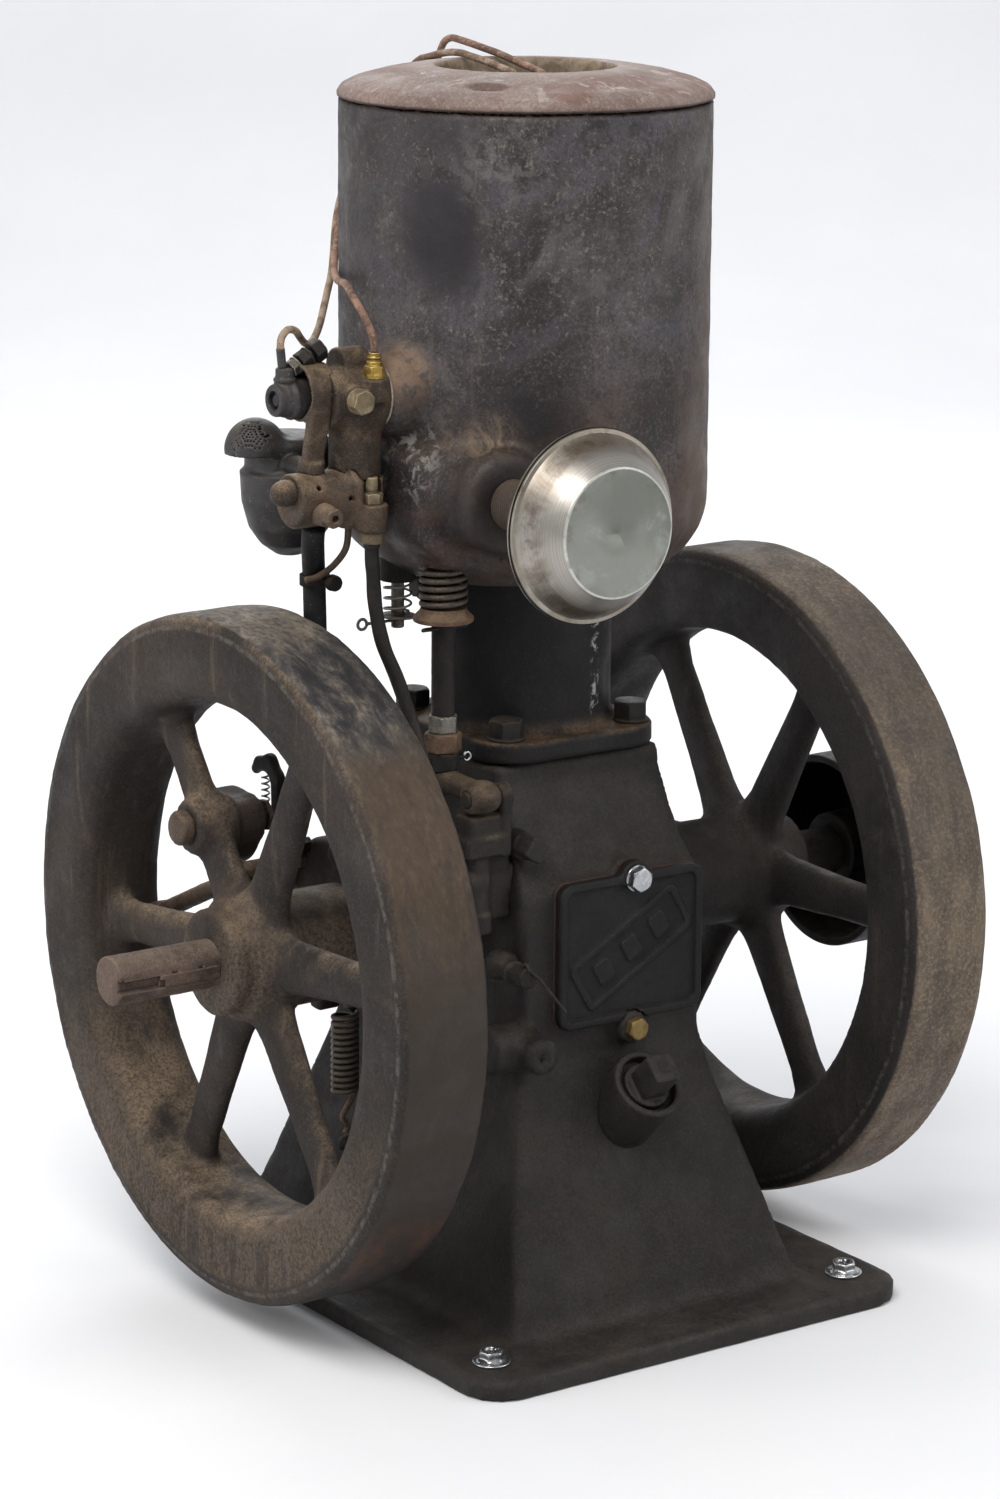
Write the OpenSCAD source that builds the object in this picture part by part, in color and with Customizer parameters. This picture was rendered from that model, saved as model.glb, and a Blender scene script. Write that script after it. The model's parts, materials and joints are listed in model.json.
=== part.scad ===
// Vertical gas engine: two flywheels on a horizontal crankshaft, a tapered
// crankcase on a flat base, an upright cylinder and a tall water hopper.
// +Z is up, X runs along the crankshaft, -Y is the cover and muffler side.
// The origin is the centre of the underside of the base.

/* [Base and crankcase] */
// Width of the base flange, along the crankshaft
base_w = 312; // [300:1:330]
// Depth of the base flange
base_d = 388; // [370:1:400]
// Thickness of the base flange
base_t = 12; // [10:1:16]
// Height of the crankcase top above the floor
case_top = 336; // [332:1:338]
// Radius of the four holes in the base flange
base_hole_r = 5.5; // [4.5:0.5:6.5]
// Distance of those holes from the middle, across and along
base_hole = [131, 161];

/* [Crankshaft and flywheels] */
// Height of the crankshaft
crank_z = 223; // [221:0.5:226]
// Offset of the crankshaft behind the cylinder axis
crank_y = 13; // [10:1:18]
// Radius of the crankshaft
shaft_r = 15; // [14.5:0.5:16]
// Radius of each flywheel
wheel_r = 206; // [200:1:206]
// Distance of each flywheel's inner face from the middle
wheel_in = 153; // [150:1:156]
// Width of the flywheel rim
rim_w = 60; // [55:1:62]
// Number of spokes
spokes = 6; // [5:1:8]
// Radius of the free end of the crankshaft, left
stub_r = 14.6; // [14:0.1:15]
// Turn of the left flywheel's spokes
left_turn = 55; // [0:1:60]
// Turn of the right flywheel's spokes
right_turn = 59; // [0:1:60]

/* [Belt pulley] */
// Radius of the belt pulley
pulley_r = 62.5; // [55:0.5:65]
// Inner end of the belt pulley
pulley_x = 248; // [246:1:252]
// Width of the belt pulley
pulley_w = 80; // [70:1:82]

/* [Cylinder and hopper] */
// Radius of the cylinder barrel
barrel_r = 54; // [50:1:56]
// Outer radius of the water hopper
hopper_r = 110; // [108:1:112]
// Wall of the water hopper
hopper_wall = 6; // [4:1:8]
// Height of the hopper's flat bottom
hopper_z = 441; // [440:1:442]
// Height of the hopper rim
hopper_top = 720; // [700:1:730]
// Radius of the hopper's rounded lower edge
hopper_round = 45; // [40:1:46]
// Radius of the mouth in the lid
mouth_r = 52; // [45:1:56]

/* [Muffler] */
// Radius of the muffler disc
muffler_r = 55.5; // [50:0.5:58]
// Place of the muffler axis, across and up
muffler_at = [-80, 501];

/* [Hidden] */
$fn = 64;
ZC = crank_z;
YC = crank_y;
valve_y = [-44, 4];      // exhaust and intake valve, front to back
valve_x = -87;
chest_z = 460;

// ---------- helpers ----------
module cx(r, x0, x1, y, z, r2 = -1) // round bar along X
    translate([min(x0, x1), y, z]) rotate([0, 90, 0])
        cylinder(h = abs(x1 - x0), r1 = r, r2 = r2 < 0 ? r : r2);
module cy(r, y0, y1, x, z, r2 = -1) // round bar along Y
    translate([x, max(y0, y1), z]) rotate([90, 0, 0])
        cylinder(h = abs(y1 - y0), r1 = r, r2 = r2 < 0 ? r : r2);
module cz(r, z0, z1, x, y, r2 = -1) // round bar along Z
    translate([x, y, z0]) cylinder(h = z1 - z0, r1 = r, r2 = r2 < 0 ? r : r2);
module hexz(af, z0, z1, x, y, turn = 0)
    translate([x, y, z0]) rotate([0, 0, turn])
        cylinder(h = z1 - z0, r = af / sqrt(3), $fn = 6);
module hexy(af, y0, y1, x, z, turn = 0)
    translate([x, y1, z]) rotate([90, 0, 0]) rotate([0, 0, turn])
        cylinder(h = y1 - y0, r = af / sqrt(3), $fn = 6);
module box3(a, b) translate(a) cube(b - a);
module rrect(w, d, r, h) { // rounded slab centred on the origin
    translate([-w / 2 + r, -d / 2, 0]) cube([w - 2 * r, d, h]);
    translate([-w / 2, -d / 2 + r, 0]) cube([w, d - 2 * r, h]);
    for (sx = [-1, 1]) for (sy = [-1, 1])
        translate([sx * (w / 2 - r), sy * (d / 2 - r), 0]) cylinder(h = h, r = r);
}

// swept tubes
function unit(v) = v / norm(v);
function tang(P, i) = unit(i == 0 ? P[1] - P[0]
    : i == len(P) - 1 ? P[i] - P[i - 1] : P[i + 1] - P[i - 1]);
function frames(P, i = 0, u = [0.31, 0.57, 0.76], acc = []) = i == len(P) ? acc
    : let (t = tang(P, i), w = unit(u - (u * t) * t)) frames(P, i + 1, w, concat(acc, [w]));
function cr1(a, b, c, d, t) = 0.5 * (2 * b + (c - a) * t + (2 * a - 5 * b + 4 * c - d) * t * t
    + (3 * b - a - 3 * c + d) * t * t * t);
function smooth(P, m) = [for (i = [0 : len(P) - 2]) for (j = [0 : m - 1])
    cr1(P[max(i - 1, 0)], P[i], P[i + 1], P[min(i + 2, len(P) - 1)], j / m), P[len(P) - 1]];
module tube(P, r, n = 8) {
    U = frames(P);
    pts = [for (i = [0 : len(P) - 1]) let (t = tang(P, i), b = cross(t, U[i]))
        for (k = [0 : n - 1]) P[i] + r * (cos(360 * k / n) * U[i] + sin(360 * k / n) * b)];
    sides = [for (i = [0 : len(P) - 2]) for (k = [0 : n - 1])
        let (k2 = (k + 1) % n) [i * n + k, (i + 1) * n + k, (i + 1) * n + k2, i * n + k2]];
    polyhedron(pts, concat(sides, [[for (k = [0 : n - 1]) k],
        [for (k = [n - 1 : -1 : 0]) (len(P) - 1) * n + k]]), convexity = 8);
}
// coil about Z: mean radius, wire radius, bottom, top, turns
function coil(rm, z0, z1, turns, per) = [for (i = [0 : turns * per])
    [rm * cos(360 * i / per), rm * sin(360 * i / per), z0 + (z1 - z0) * i / (turns * per)]];

// ---------- base and crankcase ----------
// half widths of the crankcase against height: across, then front to back
side_w = [[base_t, 110], [16, 106], [22, 103], [32, 100.5], [70, 91.5], [100, 83], [130, 75],
    [150, 69.7], [168, 65.8], [262, 65.8], [280, 61.5], [300, 60], [case_top, 60]];
side_d = [[base_t, 152], [16, 148.5], [22, 145.5], [32, 142], [70, 127], [100, 116], [130, 105],
    [150, 100], [165, 97.5], [262, 97.5], [280, 84], [300, 73.5], [322, 62], [case_top, 60]];
module tapered() intersection() {
    translate([0, 200, 0]) rotate([90, 0, 0]) linear_extrude(400)
        polygon(concat([for (p = side_w) [p[1], p[0]]],
            [for (i = [len(side_w) - 1 : -1 : 0]) [-side_w[i][1], side_w[i][0]]]));
    translate([-200, 0, 0]) rotate([90, 0, 90]) linear_extrude(400)
        polygon(concat([for (p = side_d) [p[1], p[0]]],
            [for (i = [len(side_d) - 1 : -1 : 0]) [-side_d[i][1], side_d[i][0]]]));
}
module frame() color([0.30, 0.29, 0.29]) difference() {
    union() {
        rrect(base_w, base_d, 24, base_t);
        tapered();
        cx(60, 60, 86, YC, ZC);            // right bearing housing
        cx(36, 80, 104, YC, ZC);
        cx(15, -90, -60, -92, 174);        // round boss, front left
        cx(9, -73, -50, 10, 312);          // breather boss
        cx(5, -98, -80, 51, 78);           // lower spring anchor
        translate([cover_at[0], -80, cover_at[1]]) rotate([90, 0, 0]) {  // cover pad
            rrect(cover_w - 1, cover_h - 1, 9, 17.5);
            translate([2, 42.5, 0]) cylinder(h = 17.5, r = 10);
        }
        cy(11, -120, -90, -65, 173);       // drilled lug
        cy(10, -106, -60, 10, 175.5);      // lower cover bolt boss
    }
    cx(shaft_r + 0.05, -120, 120, YC, ZC);
    cy(2.6, -125, -105, -65, 173);
    for (sx = [-1, 1]) for (sy = [-1, 1])
        cz(base_hole_r, -1, base_t + 1, sx * base_hole[0], sy * base_hole[1]);
}

// ---------- crankcase cover ----------
cover_at = [8, 225.5];      // middle of the cover, across and up
cover_w = 105;
cover_h = 90;
module cover_outline(h, grow = 0) rotate([90, 0, 0]) {
    rrect(cover_w + grow, cover_h + grow, 9, h);
    translate([2, 42.5, 0]) cylinder(h = h, r = 10.5 + grow / 2);
}
module crankcase_cover() color([0.28, 0.27, 0.27]) difference() {
    union() {
        difference() {
            translate([cover_at[0], -99, cover_at[1]]) cover_outline(7);
            translate([cover_at[0], -103.6, cover_at[1]]) rotate([90, 0, 0])
                rrect(cover_w - 11, cover_h - 11, 5, 10);
        }
        // slanted raised panel with plain ribs, in place of lettering
        intersection() {
            translate([cover_at[0], -103.5, cover_at[1]]) rotate([90, -30, 0]) union() {
                difference() {
                    rrect(87, 33, 4, 1.9);
                    translate([0, 0, -1]) rrect(81, 27, 3, 5);
                }
                for (i = [-1 : 1]) translate([i * 23, 0, 0]) rrect(12, 16, 3, 1.9);
            }
            translate([cover_at[0], -99, cover_at[1]]) rotate([90, 0, 0])
                rrect(cover_w - 12, cover_h - 12, 5, 10);
        }
        translate([cover_at[0] + 2, -99, cover_at[1] + 42.5]) rotate([90, 0, 0])
            cylinder(h = 7, r = 10.5);
    }
    translate([cover_at[0] + 2, -90, 175.5]) rotate([90, 0, 0]) cylinder(h = 30, r = 10.6);
    translate([cover_at[0] + 2, -90, cover_at[1] + 42.5]) rotate([90, 0, 0]) cylinder(h = 30, r = 4.2);
}
module cover_gasket() color([0.42, 0.25, 0.16]) difference() {
    translate([cover_at[0], -97.5, cover_at[1]]) cover_outline(1.5, 1);
    translate([cover_at[0] + 2, -90, 175.5]) rotate([90, 0, 0]) cylinder(h = 30, r = 10.6);
    translate([cover_at[0] + 2, -90, cover_at[1] + 42.5]) rotate([90, 0, 0]) cylinder(h = 30, r = 4.2);
}
module cover_bolts() color([0.68, 0.66, 0.60]) {
    cy(8.2, -107.2, -106, 10, 268);
    hexy(13.6, -112.6, -107.2, 10, 268, 12);
    cy(4, -106, -97.5, 10, 268);
    hexy(12.6, -111.5, -106, 10, 175.5, 5);
}

// ---------- oil filler, plug, petcock ----------
module tilt(at) translate(at) rotate([46, 0, 0]) children();  // axis forward and up
module oil_filler() color([0.26, 0.25, 0.26]) difference() {
    union() {
        tilt([4, -127, 146]) {
            difference() {
                translate([0, 0, -40]) cylinder(h = 43, r = 22);
                translate([0, 0, -4]) cylinder(h = 10, r = 18);
            }
            translate([0, 0, -5]) cylinder(h = 6, r = 14.5);
            translate([-9, -9, -1]) cube([18, 18, 24.5]);
        }
    }
    // seat on the sloping front of the crankcase
    tapered();
    box3([-60, -108, 60], [60, 0, 260]);
}
module side_plug() color([0.28, 0.27, 0.27]) difference() {
    union() {
        cy(8.5, -84.5, -74, -56, 292.5);
        difference() {
            translate([-56, -90, 292.5]) rotate([0, 20, 0]) cube([11, 14, 11], center = true);
            box3([-76, -84.5, 270], [-36, -60, 320]);
        }
    }
    tapered();
}
module petcock() color([0.31, 0.28, 0.26]) {
    cx(6, -76, -66, -88, 224);
    translate([-76, -88, 224]) sphere(r = 9.5);
    cy(6.5, -118, -92, -76, 223, 4.5);
    cz(5, 214.5, 224, -76, -88);
    cz(7, 214.2, 216, -76, -88);
}

// ---------- timing gear housing ----------
module timing_housing() color([0.27, 0.22, 0.20]) difference() {
    union() {
        hull() {
            cx(38, -110, -66, YC, ZC, $fn = 32);
            cx(39, -110, -66, 50, 236, $fn = 32);
        }
        cx(7, -116, -110, 84, 246);
        cx(7, -116, -110, 30, 270);
        box3([-105, 62, 163], [-90, 75, 216]);
        cy(3, 45, 64, -94, 172);
    }
    cx(shaft_r + 0.4, -130, -40, YC, ZC);
}

// ---------- cylinder ----------
module cylinder_body() {
    translate([0, 0, case_top]) intersection() {
        rrect(125, 134, 27, 12.5);
        cylinder(h = 40, r = 84);
    }
    cz(barrel_r + 2, case_top + 12.5, case_top + 15.5, 0, 0, barrel_r);
    cz(barrel_r, case_top + 12.5, hopper_z, 0, 0);
}
bolt_at = [[-45.5, -49.5], [45.5, -49.5], [45.5, 49.5], [-45.5, 49.5]];
module cylinder_node() color([0.31, 0.30, 0.30]) cylinder_body();
module cylinder_bolts() color([0.27, 0.26, 0.26])
    for (p = bolt_at) hexz(19, case_top + 12.5, case_top + 25, p[0], p[1], 15);
module inner_cylinder() color([0.25, 0.23, 0.22]) {
    cz(50, hopper_z + hopper_wall, 596, 0, 0);
    cz(50, 596, 602, 0, 0, 44);
}

// ---------- water hopper ----------
module pot(r, round_r, z0, z1) {
    cylinder_z = z0 + round_r;
    cz(r, cylinder_z, z1, 0, 0);
    cz(r - round_r, z0, cylinder_z + 1, 0, 0);
    rotate_extrude() translate([r - round_r, cylinder_z]) circle(r = round_r);
}
module hopper() color([0.42, 0.40, 0.38]) difference() {
    union() {
        pot(hopper_r, hopper_round, hopper_z, hopper_top);
        // valve chest, lower on the exhaust side
        difference() {
            union() {
                box3([-88, -62, chest_z], [-50, -20, 520]);
                box3([-113, -37, chest_z], [-88, -20, 520]);
                cz(25, chest_z, 520, -88, -37);
                box3([-113, -20, chest_z + 4], [-50, 12, 520]);
                box3([-103, 12, chest_z + 4], [-50, 22, 520]);
                cz(10, chest_z + 4, 520, -103, 12);
            }
            translate([0, 30, 0]) rotate([90, 0, 0]) linear_extrude(100)
                polygon([[-120, 455], [-120, 474], [-113, 474], [-96, 459], [-96, 455]]);
        }
        cz(17, chest_z - 2, 500, valve_x, valve_y[0]);
        cz(13, chest_z + 3, 500, valve_x, valve_y[1]);
        // exhaust boss
        cy(29, -92, -50, muffler_at[0], muffler_at[1]);
        cy(29, -100, -92, muffler_at[0], muffler_at[1], 22);
        // inlet boss
        cx(22, -112, -70, -24, 558);
        cx(19, -122, -112, -24, 558);
    }
    cz(15.5, 400, 458, valve_x, valve_y[0]);
    cz(11.5, 400, 463, valve_x, valve_y[1]);
    pot(hopper_r - hopper_wall, hopper_round - hopper_wall, hopper_z + hopper_wall, hopper_top + 1);
}
module hopper_lid() color([0.42, 0.34, 0.30]) rotate_extrude() polygon([
    [hopper_r - 7, hopper_top], [hopper_r + 0.6, hopper_top], [hopper_r + 0.8, hopper_top + 3],
    [hopper_r - 2, hopper_top + 7], [hopper_r - 9, hopper_top + 10.5],
    [hopper_r - 24, hopper_top + 14.5], [hopper_r - 42, hopper_top + 17.5],
    [mouth_r + 5, hopper_top + 18.6], [mouth_r + 1, hopper_top + 18], [mouth_r, hopper_top + 15.5],
    [mouth_r, hopper_top + 11], [mouth_r + 3, hopper_top + 11], [mouth_r + 6, hopper_top + 13.5],
    [hopper_r - 42, hopper_top + 12.5], [hopper_r - 24, hopper_top + 9.5], [hopper_r - 9, hopper_top + 5],
    [hopper_r - 7, hopper_top + 3]]);

// ---------- exhaust ----------
mx = muffler_at[0];
mz = muffler_at[1];
module exhaust_nipple() color([0.45, 0.43, 0.41]) difference() {
    cy(14.3, -152, -100, mx, mz);
    cy(11, -153, -99, mx, mz);
}
module disc_shell(P, y) translate([mx, y, mz]) rotate([90, 0, 0]) rotate_extrude() polygon(P);
module muffler_back() color([0.66, 0.64, 0.60]) disc_shell([
    [14.5, 0], [22, 0], [34, 2], [44, 8], [50, 17], [51.5, 24], [muffler_r, 24.5], [muffler_r, 26.5],
    [49.5, 26.5], [48, 18], [42.5, 10], [33, 4.5], [22, 2.5], [14.5, 2.5]], -151.9);
module muffler_front() color([0.72, 0.71, 0.69]) disc_shell([
    [49.5, 0], [muffler_r - 0.5, 0], [muffler_r - 0.5, 2.2], [52, 3], [49.5, 8], [44, 16], [36, 25.5], [34.5, 26.5],
    [0, 26.5], [0, 24.5], [33.5, 24.5], [42.3, 14.5], [47.6, 7]], -178.4);

// ---------- manifold and igniter ----------
module intake_manifold() color([0.40, 0.36, 0.31]) difference() {
    union() {
        cx(20, -128, -122.05, -24, 558);
        cx(17, -158, -126, -24, 558);
        cx(11, -146, -128, -20, 575);
        cz(7, 556, 569.2, -131, -38);
        cz(15, 511, 560, -135.5, -24);
    }
    cx(11, -141, -110, -24, 558);
    cx(15.55, -170, -120, -8, 496.5);
    cx(15.55, -190, -141.55, -24, 501);
    cx(19.55, -146.05, -141.55, -24, 501);
    cz(7.2, 569.25, 600, -131, -38);
    cy(8, -60, -41.05, -145, 558);
    cx(11.55, -170, -150, -18.3, 558.5);
    cx(19.1, -122.04, -100, -24, 558);
    cz(3.7, 505, 513, -133, -38);
}
module manifold_bolt() color([0.60, 0.55, 0.44]) hexy(13, -50, -41.1, -145, 558, 8);
module lead_terminal() color([0.66, 0.52, 0.25]) {
    cz(6, 569.3, 572.3, -131, -38);
    hexz(11, 572.3, 578.3, -131, -38);
    cz(4, 578.3, 584.3, -131, -38);
}
module igniter() color([0.10, 0.10, 0.11]) {
    difference() {
        union() {
            cx(9.5, -187, -181, -18.3, 558.5);
            cx(9.5, -181, -176, -18.3, 558.5, 11.5);
            cx(11.5, -176, -150, -18.3, 558.5);
        }
        cx(6, -188, -182, -18.3, 558.5);
    }
    cx(4, -184, -178, -18.3, 558.5);
    cz(5.5, 564, 577, -179, -18.3);
}
strap = [-20, 562];      // axis of the strap, front to back and up
module igniter_strap() color([0.38, 0.34, 0.30]) difference() {
    union() {
        cx(16.5, -172, -154.5, strap[0], strap[1]);
        translate([-171, 0, 0]) rotate([90, 0, 90]) linear_extrude(13)
            polygon([[-31.5, 562], [-36, 552], [-34, 545], [-25, 505], [-19, 505], [-26, 552], [-26, 562]]);
    }
    cx(15, -173, -158.05, strap[0], strap[1]);
    cx(17.05, -158.05, -150, -24, 558);
    cx(11.55, -190, -150, -18.3, 558.5);
    cx(15.55, -190, -120, -8, 496.5);
    cx(15.55, -190, -120, -24, 501);
}
module igniter_nuts() color([0.50, 0.47, 0.42]) difference() {
    translate([-177, -19, 575]) rotate([0, 62, 0]) {
        cylinder(h = 26, r = 3);
        translate([0, 0, 2]) cylinder(h = 4, r = 4.6);
        translate([0, 0, 8]) cylinder(h = 7, r = 5.6);
        translate([0, 0, 17.5]) cylinder(h = 8, r = 6.4);
    }
    cz(5.55, 550, 577.05, -179, -18.3);
    cx(16.55, -173, -154, strap[0], strap[1]);
    cx(11.05, -147, -127, -20, 575);
    cx(17.05, -159, -120, -24, 558);
}

// ---------- mixer ----------
module mixer_body() color([0.42, 0.37, 0.30]) difference() {
    union() {
        cx(15.5, -169, -122, -8, 496.5);
        cx(15.5, -180, -141.6, -24, 501);
        cx(19.5, -146, -141.6, -24, 501);
        cy(8, -38, -8, -133, 489);
        cz(9.5, 481, 497, -133, -38);
        cz(17, 500, 510.95, -135.5, -24);
    }
    cz(4.4, 470, 520, -133, -38);
    cz(7, 497.05, 520, -133, -38);
}
module mixer_plugs() color([0.50, 0.44, 0.35]) {
    cx(7.5, -185.5, -180, -26, 506);
    difference() {
        translate([-185.5, -26, 506]) sphere(r = 7.5);
        box3([-185.5, -46, 480], [-150, -6, 520]);
    }
    difference() {
        cy(6, -53, -30, -167, 494);
        cx(15.55, -190, -120, -24, 501);
    }
}
module fuel_fitting() color([0.50, 0.46, 0.38]) {
    cz(4.35, 474, 497.1, -133, -38);
    hexz(12, 497.1, 503.5, -133, -38, 10);
    cz(3.6, 503.5, 512.5, -133, -38);
    cz(7, 474, 480.9, -133, -38);
}
fuel_route = [[-133, -38, 473.9], [-133, -38, 468], [-132, -38, 455], [-131, -39, 436], [-127, -41, 414],
    [-120, -47, 391], [-115, -58, 359], [-115, -67, 330], [-115, -76, 303], [-112, -81, 284],
    [-105.5, -82, 276], [-98.1, -82, 275]];
module fuel_pipe() color([0.30, 0.26, 0.23]) tube(smooth(fuel_route, 2), 4.2, 10);
drip_route = [[-136, -18, 480.9], [-137, -17, 468], [-141, -10, 457], [-147, -3, 450], [-151, 4, 447]];
module drip_line() color([0.42, 0.36, 0.28]) tube(smooth(drip_route, 3), 2, 8);

// ---------- air horn and breather ----------
module air_horn() color([0.13, 0.13, 0.14]) difference() {
    union() {
        translate([-136, 46, 453]) rotate_extrude() polygon([
            [0, 0], [8, 1.5], [17, 8], [24, 18], [28, 33], [29, 51], [25, 54.5], [0, 54.5]]);
        // neck and down-turned hood
        cz(25, 507, 518, -136, 46);
        cz(25, 518, 524, -136, 46, 19);
        difference() {
            translate([-159, 46, 519]) sphere(r = 18.3);
            difference() {
                translate([-159, 46, 519]) sphere(r = 16.7);
                cz(25, 500, 540, -136, 46);
            }
            difference() {
                box3([-200, 0, 480], [-120, 100, 516.5]);
                cz(25, 480, 540, -136, 46);
            }
        }
        cy(6, 1, 36, -147, 512);
    }
    cx(15.6, -171, -120, -8, 496.5);
}
hose_route = [[-153, -8, 481.4], [-152, -5, 472], [-146, 4, 458], [-141, 11, 446], [-140, 12, 430],
    [-139, 12, 400], [-136, 12, 376], [-128, 12, 352], [-114, 11, 330], [-96, 10, 316], [-82, 10, 312], [-73, 10, 312]];
module breather_hose() color([0.10, 0.10, 0.11]) intersection() {
    tube(smooth(hose_route, 2), 6.8, 12);
    box3([-300, -100, 0], [-73, 100, 480.6]);
}
module hose_clamp() color([0.45, 0.44, 0.42]) {
    difference() {
        cz(9.6, 441, 449, -140.6, 11);
        tube(smooth(hose_route, 2), 6.9, 12);
    }
    cy(3.5, -6, 2, -139.6, 446);
    cy(5, -11, -6, -139.6, 446);
}

// ---------- valve gear ----------
module intake_guide() color([0.22, 0.21, 0.21]) difference() {
    cz(10.8, 440, chest_z + 2.95, valve_x, valve_y[1]);
    cz(3.95, 437, chest_z - 2, valve_x, valve_y[1]);
}
module intake_stem() color([0.30, 0.29, 0.29]) {
    cz(3.9, 411.5, 453, valve_x, valve_y[1]);
    cz(10.5, 418, 419.5, valve_x, valve_y[1]);
    cx(1, -109, -70, valve_y[1], 416);
    difference() {
        cy(4, 3, 5, -112, 416);
        cy(2.2, 2, 6, -112, 416);
    }
}
module intake_spring() color([0.35, 0.33, 0.31]) translate([valve_x, valve_y[1], 0])
    tube(coil(8, 420.4, 439.1, 3, 12), 0.7, 6);
module exhaust_spring() color([0.40, 0.34, 0.30]) translate([valve_x, valve_y[0], 0])
    tube(coil(12, 434.6, 455.2, 4, 14), 2.4, 8);
module spring_seat() color([0.45, 0.30, 0.20]) difference() {
    union() {
        cz(17.7, 424, 426.5, valve_x, valve_y[0]);
        cz(17.7, 426.5, 432, valve_x, valve_y[0], 14);
    }
    cz(7.05, 419, 435, valve_x, valve_y[0]);
}
module push_rod() color([0.30, 0.27, 0.25]) {
    cz(7, 337, 440, valve_x, valve_y[0]);
    cz(9, 335, 346, valve_x, valve_y[0]);
    cx(1.3, -103, -70, valve_y[0], 340.5);
    cx(1.3, -104, -72, valve_y[0] - 3, 420.6);
}
module push_rod_nuts() color([0.52, 0.50, 0.46]) difference() {
    union() {
        hexz(20, 346.1, 357.5, valve_x, valve_y[0], 10);
        hexz(16, 357.5, 368, valve_x, valve_y[0], 20);
    }
    cz(7.05, 345, 370, valve_x, valve_y[0]);
}
// lever pivot behind the block, arm back to the push rod
pivot = [-87, -84, 326];
module exhaust_lever() color([0.33, 0.30, 0.27]) difference() {
    union() {
        cx(9, -98, -77.5, pivot[1], pivot[2]);
        hull() {
            cx(6, -97, -80, pivot[1] - 7, pivot[2] + 2, $fn = 32);
            cx(6, -97, -80, pivot[1] + 2, pivot[2] + 2, $fn = 32);
        }
        hull() {
            cx(6, -94, -80, pivot[1], pivot[2] + 1, $fn = 32);
            cx(5.2, -94, -80, valve_y[0], 329, $fn = 32);
        }
    }
    cx(5.05, -120, -60, pivot[1], pivot[2]);
}
module lever_bracket() color([0.30, 0.27, 0.24]) difference() {
    union() {
        cx(5, -99, -72, pivot[1], pivot[2]);
        box3([-76.5, -90.6, 290], [-69, -77.4, 326]);
        cx(7.5, -76.5, -69, pivot[1], pivot[2]);
        box3([-80, -83, 250], [-62, -66, 283]);
        box3([-80, -84, 280], [-66, -66, 302]);
        box3([-97, -89, 303], [-76, -70, 315.5]);
        box3([-101, -91, 291], [-72, -67, 303.5]);
        cz(8.8, 254, 292, -88.4, -79.6);
        cz(7.6, 244, 255, -87, -82);
        cx(7, -97, -84, -82, 275);
    }
    tapered();
    cx(9, -77, -60, -88, 224);
}

// ---------- latch arm and pull spring ----------
module latch_arm() color([0.22, 0.21, 0.21]) {
    hull() {
        cx(5.5, -124, -118.2, 82, 254, $fn = 24);
        cx(5, -124, -118.2, 84, 309, $fn = 24);
    }
    hull() {
        cx(5, -124, -118.2, 84, 309, $fn = 24);
        cx(5.5, -124, -118.2, 93, 315.5, $fn = 24);
    }
    hull() {
        cx(5.5, -124, -118.2, 93, 315.5, $fn = 24);
        cx(3.5, -124, -118.2, 108, 309, $fn = 24);
    }
    cx(6, -118.4, -116, 84, 246);
    translate([-121, 98, 0]) tube(coil(2.2, 276, 307, 6, 8), 0.6, 6);
}
module pull_spring() color([0.36, 0.28, 0.23]) translate([-94, 51, 0]) {
    tube(coil(7.2, 111, 162, 12, 10), 1.7, 6);
    tube([[7.2, 0, 162], [4, 0, 165], [0, 0, 167.4]], 1.5, 6);
    tube(smooth([[7.2, 0, 111], [5, 0, 106], [1, 0, 101], [-2, 0, 95], [2, 0, 89], [0, 0, 84.8]], 2), 1.8, 6);
}

// ---------- rotating parts ----------
module crankshaft() color([0.42, 0.37, 0.33]) difference() {
    union() {
        cx(shaft_r, -wheel_in - 60.8, 336, YC, ZC);
        cx(stub_r, -282, -wheel_in - 60.8, YC, ZC);
    }
    // keyway along the left stub
    translate([-284, YC, ZC]) rotate([6, 0, 0]) translate([0, -shaft_r - 4, -4]) cube([70.1, 8, 8]);
}
module crank_key() color([0.38, 0.33, 0.29]) // what is left of the key, flush with the shaft
    translate([-255, YC, ZC]) rotate([6, 0, 0]) translate([0, -14, -3.95]) cube([41.1, 2.98, 7.9]);
module rim() rotate([0, 90, 0]) rotate_extrude() polygon([
    [166, 0], [wheel_r - 9, 0], [wheel_r - 3.5, 1.6], [wheel_r - 1, 4], [wheel_r, 8],
    [wheel_r, rim_w - 8], [wheel_r - 1, rim_w - 4], [wheel_r - 3.5, rim_w - 1.6], [wheel_r - 9, rim_w],
    [166, rim_w], [159, rim_w - 3], [155, rim_w - 8.5], [154, rim_w - 15], [154, 15], [155, 8.5], [159, 3]]);
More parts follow.
